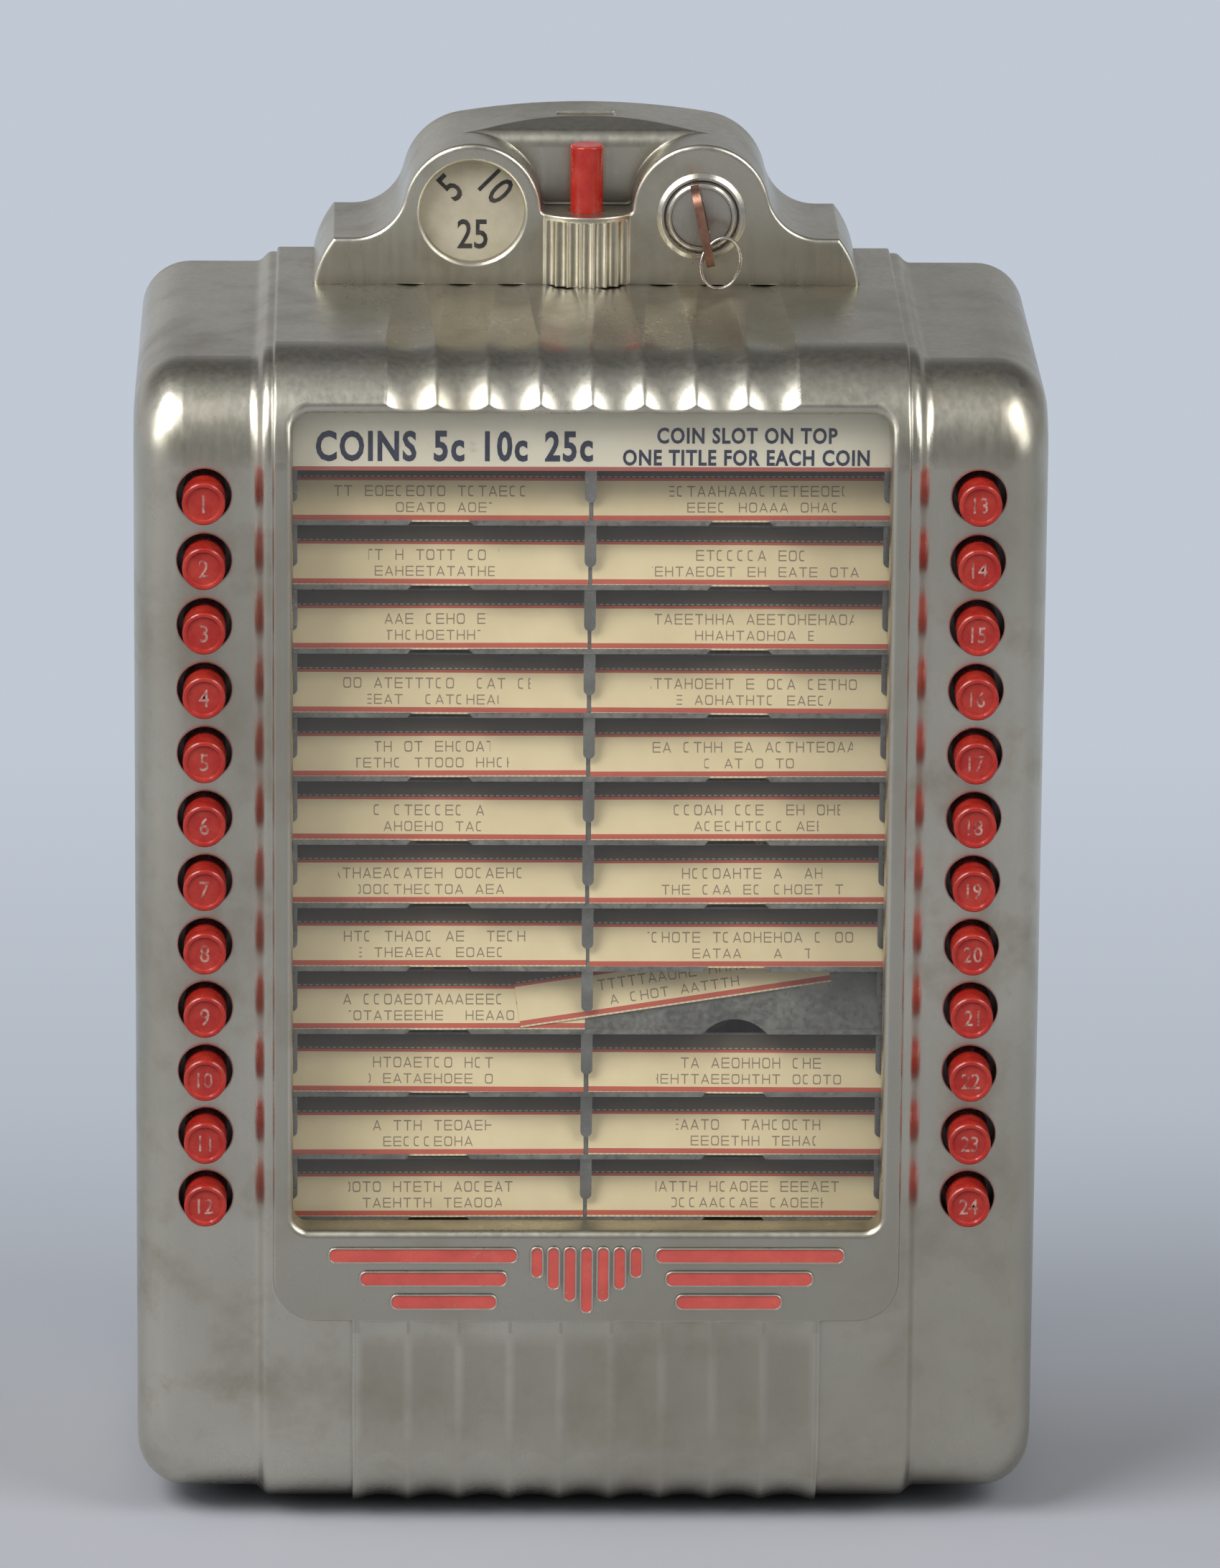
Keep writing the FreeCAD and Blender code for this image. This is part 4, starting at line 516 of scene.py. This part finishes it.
def figure(text, tall, place, turn=0.0, narrow=1.0, bold=0.0, thick=0.04, open_up=1.0):
    """Flat text facing the front, centred on a place, turned clockwise by so many degrees."""
    clear_selection()
    bpy.ops.object.text_add(location=(0, 0, 0))
    piece = bpy.context.object
    piece.data.body = text
    piece.data.align_x = piece.data.align_y = "CENTER"
    piece.data.offset = bold
    piece.data.space_character = open_up
    piece.data.resolution_u = CURVE_STEPS
    piece.data.extrude = HALF_THICK
    bpy.ops.object.convert(target="MESH")
    piece = bpy.context.object
    corners = [Vector(corner) for corner in piece.bound_box]
    centre = sum(corners, Vector()) / len(corners)
    grow = tall * MM / (max(corner.y for corner in corners) - min(corner.y for corner in corners))
    size = Matrix.Diagonal((grow * narrow, grow, thick * MM / (2 * HALF_THICK), 1))
    stand = Matrix.Rotation(math.radians(turn), 4, "Y") @ Matrix.Rotation(math.radians(90), 4, "X")
    piece.matrix_world = Matrix.Translation(Vector(place) * MM) @ stand @ size @ Matrix.Translation(-centre)
    return settle(piece)


print("figures are", 2 * HALF_THICK, "thick before they are scaled")

# %% [markdown]
# ## Coin dial
# Behind its round window sits a cream disc with the three coin values, set round the circle: the upper
# two lean outwards. The figures lie just in front of the disc, so that they don't flicker through it.

# %% Figures on the coin dial
DIAL_FACE = Vector((middle("coin_dial").x, lowest("coin_dial").y, middle("coin_dial").z))
INK_PROUD = 0.02
DIAL_FIGURES = (("dial_5", "5", -5.4, 5.6, -45), ("dial_10", "10", 6.0, 5.6, 45),
                ("dial_25", "25", 0.1, -6.0, 0))
for name, text, x, z, turn in DIAL_FIGURES:
    mark = figure(text, 7.4, DIAL_FACE + Vector((x, -INK_PROUD, z)), turn, narrow=0.78, bold=0.012)
    finish_piece(mark, name, dial_ink, "cover")
print("dial figures:", len(DIAL_FIGURES))

# %% [markdown]
# ## Numbered buttons
# Each cap carries its selection number, pressed into the dished face and filled with pale paint. The
# numbers run down the left column and on down the right one. Each is placed on its own button, at the
# height of its middle, and rides on that button's body. Two digits are made a little smaller than one.

# %% Numbers in the caps
COLUMN = (middle("button_13").x - middle("button_01").x) / 2
CAP_DISH = 0.42
CAP_FLOOR = lowest("button_01").y + CAP_DISH
BUTTONS, LEFT_BUTTONS = 24, 12
ONE_DIGIT, TWO_DIGITS = 4.3, 3.9
for number in range(1, BUTTONS + 1):
    side = -1 if number <= LEFT_BUTTONS else 1
    tall = ONE_DIGIT if number < 10 else TWO_DIGITS
    height = middle(f"button_{number:02d}").z
    mark = figure(str(number), tall, (side * COLUMN, CAP_FLOOR, height), narrow=0.85, bold=0.006)
    finish_piece(mark, f"number_{number:02d}", number_paint, f"button_{number:02d}")
print("cap numbers:", BUTTONS)

# %% [markdown]
# ## Title strips
# Twelve leaning holders carry a pair of paper strips each, with two typed lines for one song. The names
# of the songs are left as rows of made-up strokes. A picture of them would have to be drawn and loaded,
# so a graph makes them: it cuts a line into cells, and in each cell a chance number picks one sign.

# %% One made-up sign
SIGN_SHARES = {"ring": (-0.1, 0.30), "comb": (0.30, 0.52), "posts": (0.52, 0.66), "mast": (0.66, 0.84),
               "tent": (0.84, 1.1)}


def made_up_signs(tree, across, up, twist):
    """Five signs in a cell that runs from 0 to 1 both ways, and the part of the cell that they fill."""
    wide = maths(tree, "ABSOLUTE", maths(tree, "MULTIPLY_ADD", across, 2.6, -1.3))
    tall = maths(tree, "ABSOLUTE", maths(tree, "MULTIPLY_ADD", up, 2.0, -1.0))
    sides, ends = maths(tree, "GREATER_THAN", wide, 0.72), maths(tree, "GREATER_THAN", tall, 0.76)
    stem, top = maths(tree, "LESS_THAN", wide, 0.16), maths(tree, "GREATER_THAN", up, 0.87)
    bar = between(tree, up, 0.44, 0.56)
    fourths = maths(tree, "ADD", maths(tree, "POWER", wide, 4.0), maths(tree, "POWER", tall, 4.0))
    shut = either(tree, maths(tree, "LESS_THAN", across, 0.6), maths(tree, "GREATER_THAN", twist, 0.5))
    left_post = both(tree, sides, maths(tree, "LESS_THAN", across, 0.5))
    slope = maths(tree, "ABSOLUTE", maths(tree, "SUBTRACT", maths(tree, "ADD", wide, up), 0.95))
    sill = both(tree, between(tree, up, 0.24, 0.36), maths(tree, "LESS_THAN", wide, 0.7))
    signs = {"ring": both(tree, between(tree, fourths, 0.30, 1.0), shut),
             "comb": either(tree, left_post, either(tree, bar, ends)),
             "posts": either(tree, sides, bar),
             "mast": either(tree, stem, top),
             "tent": either(tree, maths(tree, "LESS_THAN", slope, 0.15), sill)}
    inside = both(tree, maths(tree, "LESS_THAN", wide, 1.0), maths(tree, "LESS_THAN", tall, 1.0))
    return signs, inside


def stroke_cell(tree, across, up, seed):
    """One sign, picked by the seed, and a chance number that tells where the line has a gap."""
    chance = add_node(tree, "TexWhiteNoise", {"W": seed}, noise_dimensions="1D").outputs["Color"]
    parts = add_node(tree, "SeparateColor", {0: chance}).outputs
    signs, inside = made_up_signs(tree, across, up, parts["Green"])
    strokes = 0.0
    for name, (low, high) in SIGN_SHARES.items():
        strokes = either(tree, strokes, both(tree, signs[name], between(tree, parts["Red"], low, high)))
    return both(tree, strokes, inside), parts["Blue"]


print("signs:", sorted(SIGN_SHARES))

# %% [markdown]
# A typed line is a row of such cells about the middle of the strip. The number of the strip goes into
# every seed, so all strips read differently, and a second chance number gives each line its length.

# %% One typed line
SIGN_PITCH, GAP_SHARE = 2.46, 0.14
SHORTEST_HALF, LONGER_BY, LINE_MIDDLE = 11.0, 14.0, 39.0


def typed_line(tree, along, up, strip, base, tall, line):
    """A centred line of strokes, of a different length on each strip."""
    count = maths(tree, "DIVIDE", along, SIGN_PITCH)
    cell = maths(tree, "FLOOR", count)
    seed = maths(tree, "ADD", both(tree, strip, 57.3), maths(tree, "ADD", cell, line * 29.7))
    height = maths(tree, "DIVIDE", maths(tree, "SUBTRACT", up, base), tall)
    strokes, gap = stroke_cell(tree, maths(tree, "FRACT", count), height, seed)
    ends = add_node(tree, "TexWhiteNoise", {"W": maths(tree, "MULTIPLY_ADD", strip, 3.7, line * 11.3)},
                    noise_dimensions="1D").outputs["Value"]
    reach = maths(tree, "MULTIPLY_ADD", ends, LONGER_BY, SHORTEST_HALF)
    off_middle = maths(tree, "ABSOLUTE", maths(tree, "SUBTRACT", along, LINE_MIDDLE))
    shown = both(tree, maths(tree, "LESS_THAN", off_middle, reach),
                 maths(tree, "GREATER_THAN", gap, GAP_SHARE))
    return both(tree, strokes, shown)


print("signs on the longest line:", int(2 * (SHORTEST_HALF + LONGER_BY) / SIGN_PITCH))

# %% [markdown]
# The paper is aged card with a red border below and above the lines. The strips were torn from a sheet
# along dashed cuts. Above the upper border the holder keeps them in shadow, and that shadow is painted
# into the margin as a dark band.
# All of it is measured in millimetres up from the strip's lower edge, read from the strip's own UV map,
# which moves and tilts with the strip.

# %% Printed paper
STRIP_LONG, STRIP_TALL = 75.9, 14.2
TYPED_LINES = ((6.1, 2.6), (2.3, 2.4))
LOWER_BORDER, UPPER_BORDER = (0.4, 1.6), (9.9, 10.55)
LOWER_TEAR, UPPER_TEAR = (0.0, 0.4), (10.75, 11.05)
TEAR_PITCH, TEAR_SHARE = 1.45, 0.42
SHADOW_DARK, TYPE_DARK, TORN_PALE = (0.060, 0.048, 0.040), (0.22, 0.165, 0.125), (0.50, 0.46, 0.38)


def strip_print():
    material, tree, shader, place = start_material("strip_print", Roughness=0.55)
    print_map = add_node(tree, "UVMap", uv_map="print").outputs[0]
    split = add_node(tree, "SeparateXYZ", {0: print_map}).outputs
    strip = maths(tree, "FLOOR", split["X"])
    along = both(tree, maths(tree, "FRACT", split["X"]), STRIP_LONG)
    up = both(tree, split["Y"], STRIP_TALL)
    aged = noise(tree, place, 35, detail=6, rough=0.65)
    paper = blend(tree, spread(tree, aged, 0, 1, 0.35, 0.7), (0.84, 0.735, 0.50), (0.74, 0.63, 0.41))
    typing = either(tree, *(typed_line(tree, along, up, strip, base, tall, line)
                            for line, (base, tall) in enumerate(TYPED_LINES, start=1)))
    printed = blend(tree, both(tree, typing, 0.92), paper, TYPE_DARK)
    red = blend(tree, spread(tree, aged, 0, 1), (0.58, 0.07, 0.05), (0.46, 0.05, 0.04))
    borders = either(tree, between(tree, up, *LOWER_BORDER), between(tree, up, *UPPER_BORDER))
    printed = blend(tree, both(tree, borders, 0.92), printed, red)
    # Painted shadow: above the upper border the paper is darkened where the holder above shades it.
    tucked = maths(tree, "GREATER_THAN", up, UPPER_BORDER[1])
    printed = blend(tree, both(tree, tucked, 0.95), printed, SHADOW_DARK)
    dashes = maths(tree, "GREATER_THAN", maths(tree, "FRACT", maths(tree, "DIVIDE", along, TEAR_PITCH)),
                   TEAR_SHARE)
    torn = either(tree, between(tree, up, *LOWER_TEAR), between(tree, up, *UPPER_TEAR))
    printed = blend(tree, both(tree, both(tree, torn, dashes), 0.6), printed, TORN_PALE)
    tree.links.new(printed, shader.inputs["Base Color"])
    roughen(tree, shader, noise(tree, place, 900, detail=3), 0.04 * MM, 0.5)
    return material


paper_print = strip_print()
print("strip print:", len(paper_print.node_tree.nodes), "nodes")

# %% [markdown]
# One strip is a thin bowed card: a grid whose middle is pushed a little forward with proportional
# editing, so that the bow is smooth, and then given its thickness. It is modelled once and copied.

# %% One strip
BOW, BOW_REACH, MIDDLE_HALF = 0.12, 30, 20
PAPER_THICK = 0.18


def blank_strip():
    """A strip that faces the front about the origin, bowed forward in the middle."""
    clear_selection()
    bpy.ops.mesh.primitive_grid_add(x_subdivisions=18, y_subdivisions=3, size=1, calc_uvs=True)
    strip = bpy.context.object
    strip.data.uv_layers[0].name = "print"
    strip.rotation_euler.x = math.radians(90)
    strip.scale = (STRIP_LONG * MM, STRIP_TALL * MM, 1)
    settle(strip)
    bpy.ops.object.mode_set(mode="EDIT")
    bpy.ops.mesh.select_all(action="DESELECT")
    bpy.ops.object.mode_set(mode="OBJECT")
    for vertex in strip.data.vertices:
        vertex.select = abs(vertex.co.x) < MIDDLE_HALF * MM
    bpy.ops.object.mode_set(mode="EDIT")
    bpy.ops.transform.translate(value=(0, -BOW * MM, 0), use_proportional_edit=True,
                                proportional_edit_falloff="SMOOTH", proportional_size=BOW_REACH * MM)
    bpy.ops.object.mode_set(mode="OBJECT")
    wall = strip.modifiers.new("paper", "SOLIDIFY")
    wall.thickness = PAPER_THICK * MM
    wall.offset = 0
    bpy.ops.object.modifier_apply(modifier=wall.name)
    bpy.ops.object.shade_smooth_by_angle(angle=math.radians(30))
    return strip


pattern_strip = blank_strip()
print("strip faces:", len(pattern_strip.data.polygons))

# %% [markdown]
# The copies are leaned back into their holders, two to a row, each a hair out of line as slipped-in
# paper is. One strip has come loose: it stands on its lower left corner and slants up to the right. Its
# place is worked out from that corner, because there it touches the holder. The numbers in the UV map
# are shifted by the strip's number, which gives each strip its own typing.

# %% All strips in their holders
RACK_LEAN, RACK_FRONT, BELOW_BUTTON = math.radians(-18), -46.0, 8.85
ROWS = 12
SEAT_DEPTH, COLUMN_GAP = 1.27, 0.3
LIFT_PLAY, SIDE_PLAY, TILT_PLAY = 0.35, 0.4, 0.25
LOOSE, LOOSE_DEPTH, LOOSE_SLANT, LOOSE_CORNER = (3, 1), 0.97, 8.5, Vector((-16.0, 0.8))


def number_the_print(strip, number):
    """Keep the print a thousandth off both ends of the strip, and add the strip's number."""
    for loop in strip.data.uv_layers["print"].data:
        loop.uv.x = loop.uv.x * 0.998 + 0.001 + number


def seat_in_holder(side, spare):
    """Across, back and up from the middle of the row to the middle of a strip, and its tilt."""
    lift = STRIP_TALL / 2 + spare.uniform(0.0, LIFT_PLAY)
    across = side * (STRIP_LONG / 2 + COLUMN_GAP + spare.uniform(0.0, SIDE_PLAY))
    return Vector((across, SEAT_DEPTH, lift)), spare.uniform(-TILT_PLAY, TILT_PLAY)


def loose_seat():
    """The same for the strip that stands on its lower left corner."""
    turn = math.radians(LOOSE_SLANT)
    right, up = STRIP_LONG / 2, STRIP_TALL / 2
    across = LOOSE_CORNER.x + right * math.cos(turn) - up * math.sin(turn)
    lift = LOOSE_CORNER.y + right * math.sin(turn) + up * math.cos(turn)
    return Vector((across, LOOSE_DEPTH, lift)), -LOOSE_SLANT


def place_strip(number, row, side, spare):
    strip = pattern_strip.copy()
    strip.data = pattern_strip.data.copy()
    bpy.context.scene.collection.objects.link(strip)
    number_the_print(strip, number)
    seat, tilt = seat_in_holder(side, spare)
    if (row, side) == LOOSE:
        seat, tilt = loose_seat()
    holder = Vector((0, RACK_FRONT, middle(f"button_{ROWS - row:02d}").z - BELOW_BUTTON)) * MM
    inside = Matrix.Translation(seat * MM) @ Matrix.Rotation(math.radians(tilt), 4, "Y")
    strip.matrix_world = Matrix.Translation(holder) @ Matrix.Rotation(RACK_LEAN, 4, "X") @ inside
    settle(strip)
    finish_piece(strip, f"title_strip_{number:02d}", paper_print, "chassis")
    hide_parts("title_strips")


spare = random.Random(24)
for row in range(ROWS):
    place_strip(2 * (ROWS - row) - 1, row, -1, spare)
    place_strip(2 * (ROWS - row), row, 1, spare)
bpy.data.objects.remove(pattern_strip)
print("title strips:", 2 * ROWS)

# %% [markdown]
# ## Price card
# Above the strips, behind the same glass, is a pale card with the coins it takes, in navy blue, and two
# plain lines on their use. The card itself is the CAD part with a printed material, whose lower edge is
# red. The words are thin meshes on its face, because letters made of nodes would be hard to read.

# %% Card with a red lower edge
CARD_LOW, CARD_FACE = lowest("instruction_card").z, lowest("instruction_card").y
RED_EDGE = 1.0


def card_print():
    material, tree, shader, place = start_material("card_print", Roughness=0.5)
    aged = noise(tree, place, 28, detail=6, rough=0.65)
    spots = noise(tree, place, 190, detail=5, rough=0.7)
    card = blend(tree, spread(tree, aged, 0, 1, 0.35, 0.7), (0.90, 0.875, 0.77), (0.79, 0.76, 0.65))
    card = blend(tree, spread(tree, spots, 0, 0.5, 0.62, 0.74), card, (0.45, 0.41, 0.33))
    height = add_node(tree, "SeparateXYZ", {0: place}).outputs["Z"]
    edge = maths(tree, "LESS_THAN", height, (CARD_LOW + RED_EDGE) * MM)
    printed = blend(tree, both(tree, edge, 0.9), card, (0.42, 0.05, 0.04))
    tree.links.new(printed, shader.inputs["Base Color"])
    roughen(tree, shader, noise(tree, place, 700, detail=3), 0.04 * MM, 0.5)
    return material


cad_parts["instruction_card"].data.materials[0] = card_print()
print(f"card from z {CARD_LOW:.1f} mm up")

# %% Words on the card
CARD_INK_PROUD = 0.03
COINS_TALL, COINS_NARROW, COINS_UP = 7.6, 0.74, 6.0
LINES_TALL, LINES_NARROW, UPPER_LINE_UP, LOWER_LINE_UP = 4.0, 0.80, 8.7, 3.3
CARD_COINS = (("card_coins", "COINS", -53.6), ("card_5", "5c", -33.9), ("card_10", "10c", -20.3),
              ("card_25", "25c", -5.4))
CARD_LINES = (("card_upper", "COIN SLOT ON TOP", 37.0, UPPER_LINE_UP),
              ("card_lower", "ONE TITLE FOR EACH COIN", 36.8, LOWER_LINE_UP))


def card_word(name, text, x, up, tall, narrow):
    place = (x, CARD_FACE - CARD_INK_PROUD, CARD_LOW + up)
    mark = figure(text, tall, place, narrow=narrow, bold=0.03, thick=0.02, open_up=1.12)
    finish_piece(mark, name, card_ink, "cover")


for name, text, x in CARD_COINS:
    card_word(name, text, x, COINS_UP, COINS_TALL, COINS_NARROW)
for name, text, x, up in CARD_LINES:
    card_word(name, text, x, up, LINES_TALL, LINES_NARROW)
print("card words:", len(CARD_COINS) + len(CARD_LINES))

# %% [markdown]
# ## Enamelled ornament
# The nameplate carries a raised ornament filled with red enamel. It is a plain streamline pattern of
# the period: three bars run out on each side of a stepped fan. The enamel has faded in clouds and
# chipped down to the metal in spots.

# %% Red enamel


def enamel():
    material, tree, shader, place = start_material("red_enamel", Coat_Weight=0.2, Coat_Roughness=0.25)
    worn = noise(tree, place, 120, detail=6, rough=0.7)
    chips = noise(tree, place, 420, detail=4, rough=0.7)
    toned = blend(tree, spread(tree, worn, 0, 1), (0.60, 0.095, 0.070), (0.48, 0.065, 0.05))
    toned = blend(tree, spread(tree, chips, 0, 0.7, 0.64, 0.72), toned, (0.30, 0.25, 0.21))
    tree.links.new(toned, shader.inputs["Base Color"])
    tree.links.new(spread(tree, worn, 0.32, 0.55), shader.inputs["Roughness"])
    roughen(tree, shader, worn, 0.1 * MM, 0.5)
    return material


red_enamel = enamel()
print("enamel:", red_enamel.name)

# %% [markdown]
# Each bar starts as a block that stands a little proud of the nameplate. Its ends are rounded by a
# Bevel modifier on the four edges that run front to back, which are picked by a weight. The front face
# is then inset twice: the first ring stays as the metal rim, the second steps down to the enamel.

# %% One enamelled bar
BAR_DEEP, BAR_LEAD = 0.8, 0.2
CORNER_SHARE, CORNER_STEPS = 0.45, 4
RIM_WIDE, STEP_WIDE, ENAMEL_SUNK = 0.28, 0.10, 0.18


def rounded_block(x, z, wide, tall):
    clear_selection()
    bpy.ops.mesh.primitive_cube_add(size=1, location=Vector((x, COVER_FRONT - BAR_LEAD, z)) * MM)
    bar = bpy.context.object
    bar.scale = Vector((wide, BAR_DEEP, tall)) * MM
    settle(bar)
    weights = bar.data.attributes.new("bevel_weight_edge", "FLOAT", "EDGE")
    for edge in bar.data.edges:
        start, end = (bar.data.vertices[i].co.y for i in edge.vertices)
        weights.data[edge.index].value = 1.0 if abs(start - end) > 0.5 * BAR_DEEP * MM else 0.0
    corner = bar.modifiers.new("corner", "BEVEL")
    corner.width = CORNER_SHARE * min(wide, tall) * MM
    corner.segments = CORNER_STEPS
    corner.affect = "EDGES"
    corner.limit_method = "WEIGHT"
    bpy.ops.object.modifier_apply(modifier=corner.name)
    return bar


def enamel_bar(name, x, z, wide, tall):
    bar = rounded_block(x, z, wide, tall)
    pick_faces(bar, lambda face: face.normal.y < -0.9)
    bpy.ops.mesh.inset(thickness=RIM_WIDE * MM, depth=0)
    bpy.ops.mesh.inset(thickness=STEP_WIDE * MM, depth=-ENAMEL_SUNK * MM)
    bpy.ops.object.mode_set(mode="OBJECT")
    bar.data.materials.append(casting_plate)
    bar.data.materials.append(red_enamel)
    for face in bar.data.polygons:
        if face.select:
            face.material_index = 1
    bar.name = bar.data.name = name
    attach(bar, "cover")


print("enamel lies", ENAMEL_SUNK, "mm under its rim")

# %% [markdown]
# The bars get shorter step by step as they go down. The bars of the fan hang from one height, and the
# middle one is the longest, so their lower ends make the steps. Two loops place them all.

# %% Bars and fan
ORNAMENT_MIDDLE = 64.0
BAR_SPANS, BAR_PITCH, BAR_TALL = ((16.5, 62.5), (19.0, 55.0), (21.5, 47.5)), 5.9, 4.0
FAN_HALF, FAN_PITCH, FAN_WIDE, FAN_TOP, FAN_TALLEST, FAN_STEP = 3, 4.0, 3.3, 8.2, 17.0, 3.0
for side, word in ((-1, "left"), (1, "right")):
    for step, (near, far) in enumerate(BAR_SPANS):
        enamel_bar(f"ornament_{word}_{step + 1}", side * (near + far) / 2,
                   ORNAMENT_MIDDLE + BAR_PITCH * (1 - step), far - near, BAR_TALL)
for step in range(-FAN_HALF, FAN_HALF + 1):
    tall = FAN_TALLEST - abs(step) * FAN_STEP
    enamel_bar(f"ornament_fan_{step + FAN_HALF + 1}", step * FAN_PITCH,
               ORNAMENT_MIDDLE + FAN_TOP - tall / 2, FAN_WIDE, tall)
print("ornament pieces:", 2 * len(BAR_SPANS) + 2 * FAN_HALF + 1)

# %% [markdown]
# ## Deck screws
# Two small slotted screws sit near the back of the deck, one each side of the crown. A short cylinder
# gets a slot by bisecting it twice across its head and pushing the strip between the cuts down.

# %% Slotted screws
SCREW_OUT, SCREW_BACK, SCREW_UP = 71.0, 47.5, 289.75
SCREW_RADIUS, SCREW_TALL, SCREW_SIDES = 1.9, 0.9, 28
SLOT_HALF, SLOT_DEEP = 0.3, 0.45


def deck_screw(name, x):
    clear_selection()
    bpy.ops.mesh.primitive_cylinder_add(vertices=SCREW_SIDES, radius=SCREW_RADIUS * MM,
                                        depth=SCREW_TALL * MM,
                                        location=Vector((x, SCREW_BACK, SCREW_UP)) * MM)
    screw = settle(bpy.context.object)
    bpy.ops.object.mode_set(mode="EDIT")
    for offset in (-SLOT_HALF, SLOT_HALF):
        bpy.ops.mesh.select_all(action="SELECT")
        bpy.ops.mesh.bisect(plane_co=Vector((x, SCREW_BACK + offset, SCREW_UP)) * MM, plane_no=(0, 1, 0))
    bpy.ops.object.mode_set(mode="OBJECT")
    pick_faces(screw, lambda face: face.normal.z > 0.9 and abs(face.center.y - SCREW_BACK * MM) < 0.1 * MM)
    bpy.ops.mesh.extrude_region_move(TRANSFORM_OT_translate={"value": (0, 0, -SLOT_DEEP * MM)})
    bpy.ops.object.mode_set(mode="OBJECT")
    finish_piece(screw, name, FINISHES["zinc_steel"], "cover")


deck_screw("deck_screw_left", -SCREW_OUT)
deck_screw("deck_screw_right", SCREW_OUT)
print("deck screws: 2")

# %% [markdown]
# ## Floor and backdrop
# The floor is a plain pale cloth that catches the shadow near the box. A backdrop that is lit like the
# box would never come out even, so behind the box the same floor turns into a plain glow. The glow is
# seen by the camera and in reflections only, and doesn't light the box.

# %% Floor
FLOOR_SIZE, FLOOR_DROP = 12, 0.0005
GLOW_STARTS, GLOW_FULL = 0.0, 0.28
FADE_STARTS, FADE_ENDS = 0.2, 0.65


def floor_finish():
    material, tree, shader, place = start_material("studio_floor", Roughness=0.9,
                                                   Specular_IOR_Level=0.1)
    depth = add_node(tree, "SeparateXYZ", {0: place}).outputs["Y"]
    cloth = noise(tree, place, 3, detail=3)
    near = blend(tree, spread(tree, cloth, 0, 1), (0.36, 0.37, 0.40), (0.335, 0.345, 0.375))
    tree.links.new(near, shader.inputs["Base Color"])
    far = blend(tree, spread(tree, depth, 0, 1, FADE_STARTS, FADE_ENDS), (0.43, 0.47, 0.53),
                (0.53, 0.58, 0.655))
    glow = add_node(tree, "Emission", {"Color": far, "Strength": 1.0})
    rays = add_node(tree, "LightPath").outputs
    seen = either(tree, either(tree, rays["Is Camera Ray"], rays["Is Glossy Ray"]),
                  rays["Is Transmission Ray"])
    behind = both(tree, seen, spread(tree, depth, 0, 1, GLOW_STARTS, GLOW_FULL))
    mix = add_node(tree, "MixShader", {0: behind, 1: shader.outputs[0], 2: glow.outputs[0]})
    tree.links.new(mix.outputs[0], tree.nodes["Material Output"].inputs["Surface"])
    return material


bpy.ops.mesh.primitive_plane_add(size=FLOOR_SIZE, location=(0, 0, -FLOOR_DROP))
floor = bpy.context.object
floor.name = "studio_floor"
floor.data.materials.append(floor_finish())
print("floor:", FLOOR_SIZE, "m square")

# %% [markdown]
# ## Room light
# Metal shows its surroundings more than its own colour, so the room matters as much as the finish. The
# world is a sweep of grey from the horizon in front, over the top, to the horizon behind. It is dimmest
# between the top and the back, which puts a soft dark band along the curved front edge, and light again
# low at the back, where the flat deck looks. The left of the room is brighter than the right.

# %% World
SWEEP = ((0.0, 0.30), (0.10, 0.24), (0.25, 0.36), (0.42, 0.42), (0.54, 0.30), (0.66, 0.10), (0.82, 0.14),
         (0.91, 0.40), (0.999, 0.55))
WALL_GREY = (0.46, 0.47, 0.50)
BRIGHT_LEFT, DIM_RIGHT = 1.2, 0.75


def cool_grey(value):
    return (value, value * 1.02, value * 1.06, 1)


def room():
    """A world that goes by the height of the view: 0 is the front horizon, 0.5 overhead, 1 the back."""
    world = bpy.data.worlds.new("room")
    bpy.context.scene.world = world
    world.use_nodes = True
    tree = world.node_tree
    way = add_node(tree, "SeparateXYZ", {0: add_node(tree, "TexCoord").outputs["Generated"]}).outputs
    ahead = both(tree, way["Y"], -1.0)
    turned = maths(tree, "DIVIDE", maths(tree, "ARCTAN2", way["Z"], ahead), math.pi)
    ramp = add_node(tree, "ValToRGB", {"Fac": turned})
    stops = ramp.color_ramp.elements
    for place, value in SWEEP[1:]:
        stops.new(place).color = cool_grey(value)
    stops[0].color = (SWEEP[0][1],) * 3 + (1,)
    stops.remove(stops[-1])  # the white stop that every new ramp ends in
    sideways = maths(tree, "ABSOLUTE", way["X"])
    walls = blend(tree, spread(tree, sideways, 0, 1, 0.6, 0.9), ramp.outputs["Color"], WALL_GREY)
    sky = tree.nodes["Background"]
    tree.links.new(walls, sky.inputs["Color"])
    tree.links.new(spread(tree, way["X"], BRIGHT_LEFT, DIM_RIGHT, -0.6, 0.6), sky.inputs["Strength"])


room()
print("stops in the sweep:", len(SWEEP))

# %% [markdown]
# Four soft lamps stand in front of the box. The large pair is high on the left and right, and gives the
# bright shoulders of the casting; the left one is twice as strong, so the box looks round. The small
# pair is low, and keeps the sides of the casting and the caps from going dark.

# %% Lamps
LAMP_AIM = Vector((0, 0, 0.15))
LAMPS = (("left_box", (-1.7, -1.25, 2.6), 1.7, 85), ("right_box", (1.9, -1.3, 2.4), 1.5, 40),
         ("low_left", (-2.6, -1.3, 1.4), 1.2, 16), ("low_right", (2.6, -1.3, 1.3), 1.2, 14))


def soft_lamp(name, place, size, power):
    bpy.ops.object.light_add(type="AREA", location=place)
    lamp = bpy.context.object
    lamp.name = name
    lamp.data.size = size
    lamp.data.energy = power
    lamp.rotation_euler = (LAMP_AIM - Vector(place)).to_track_quat("-Z", "Y").to_euler()


for lamp in LAMPS:
    soft_lamp(*lamp)
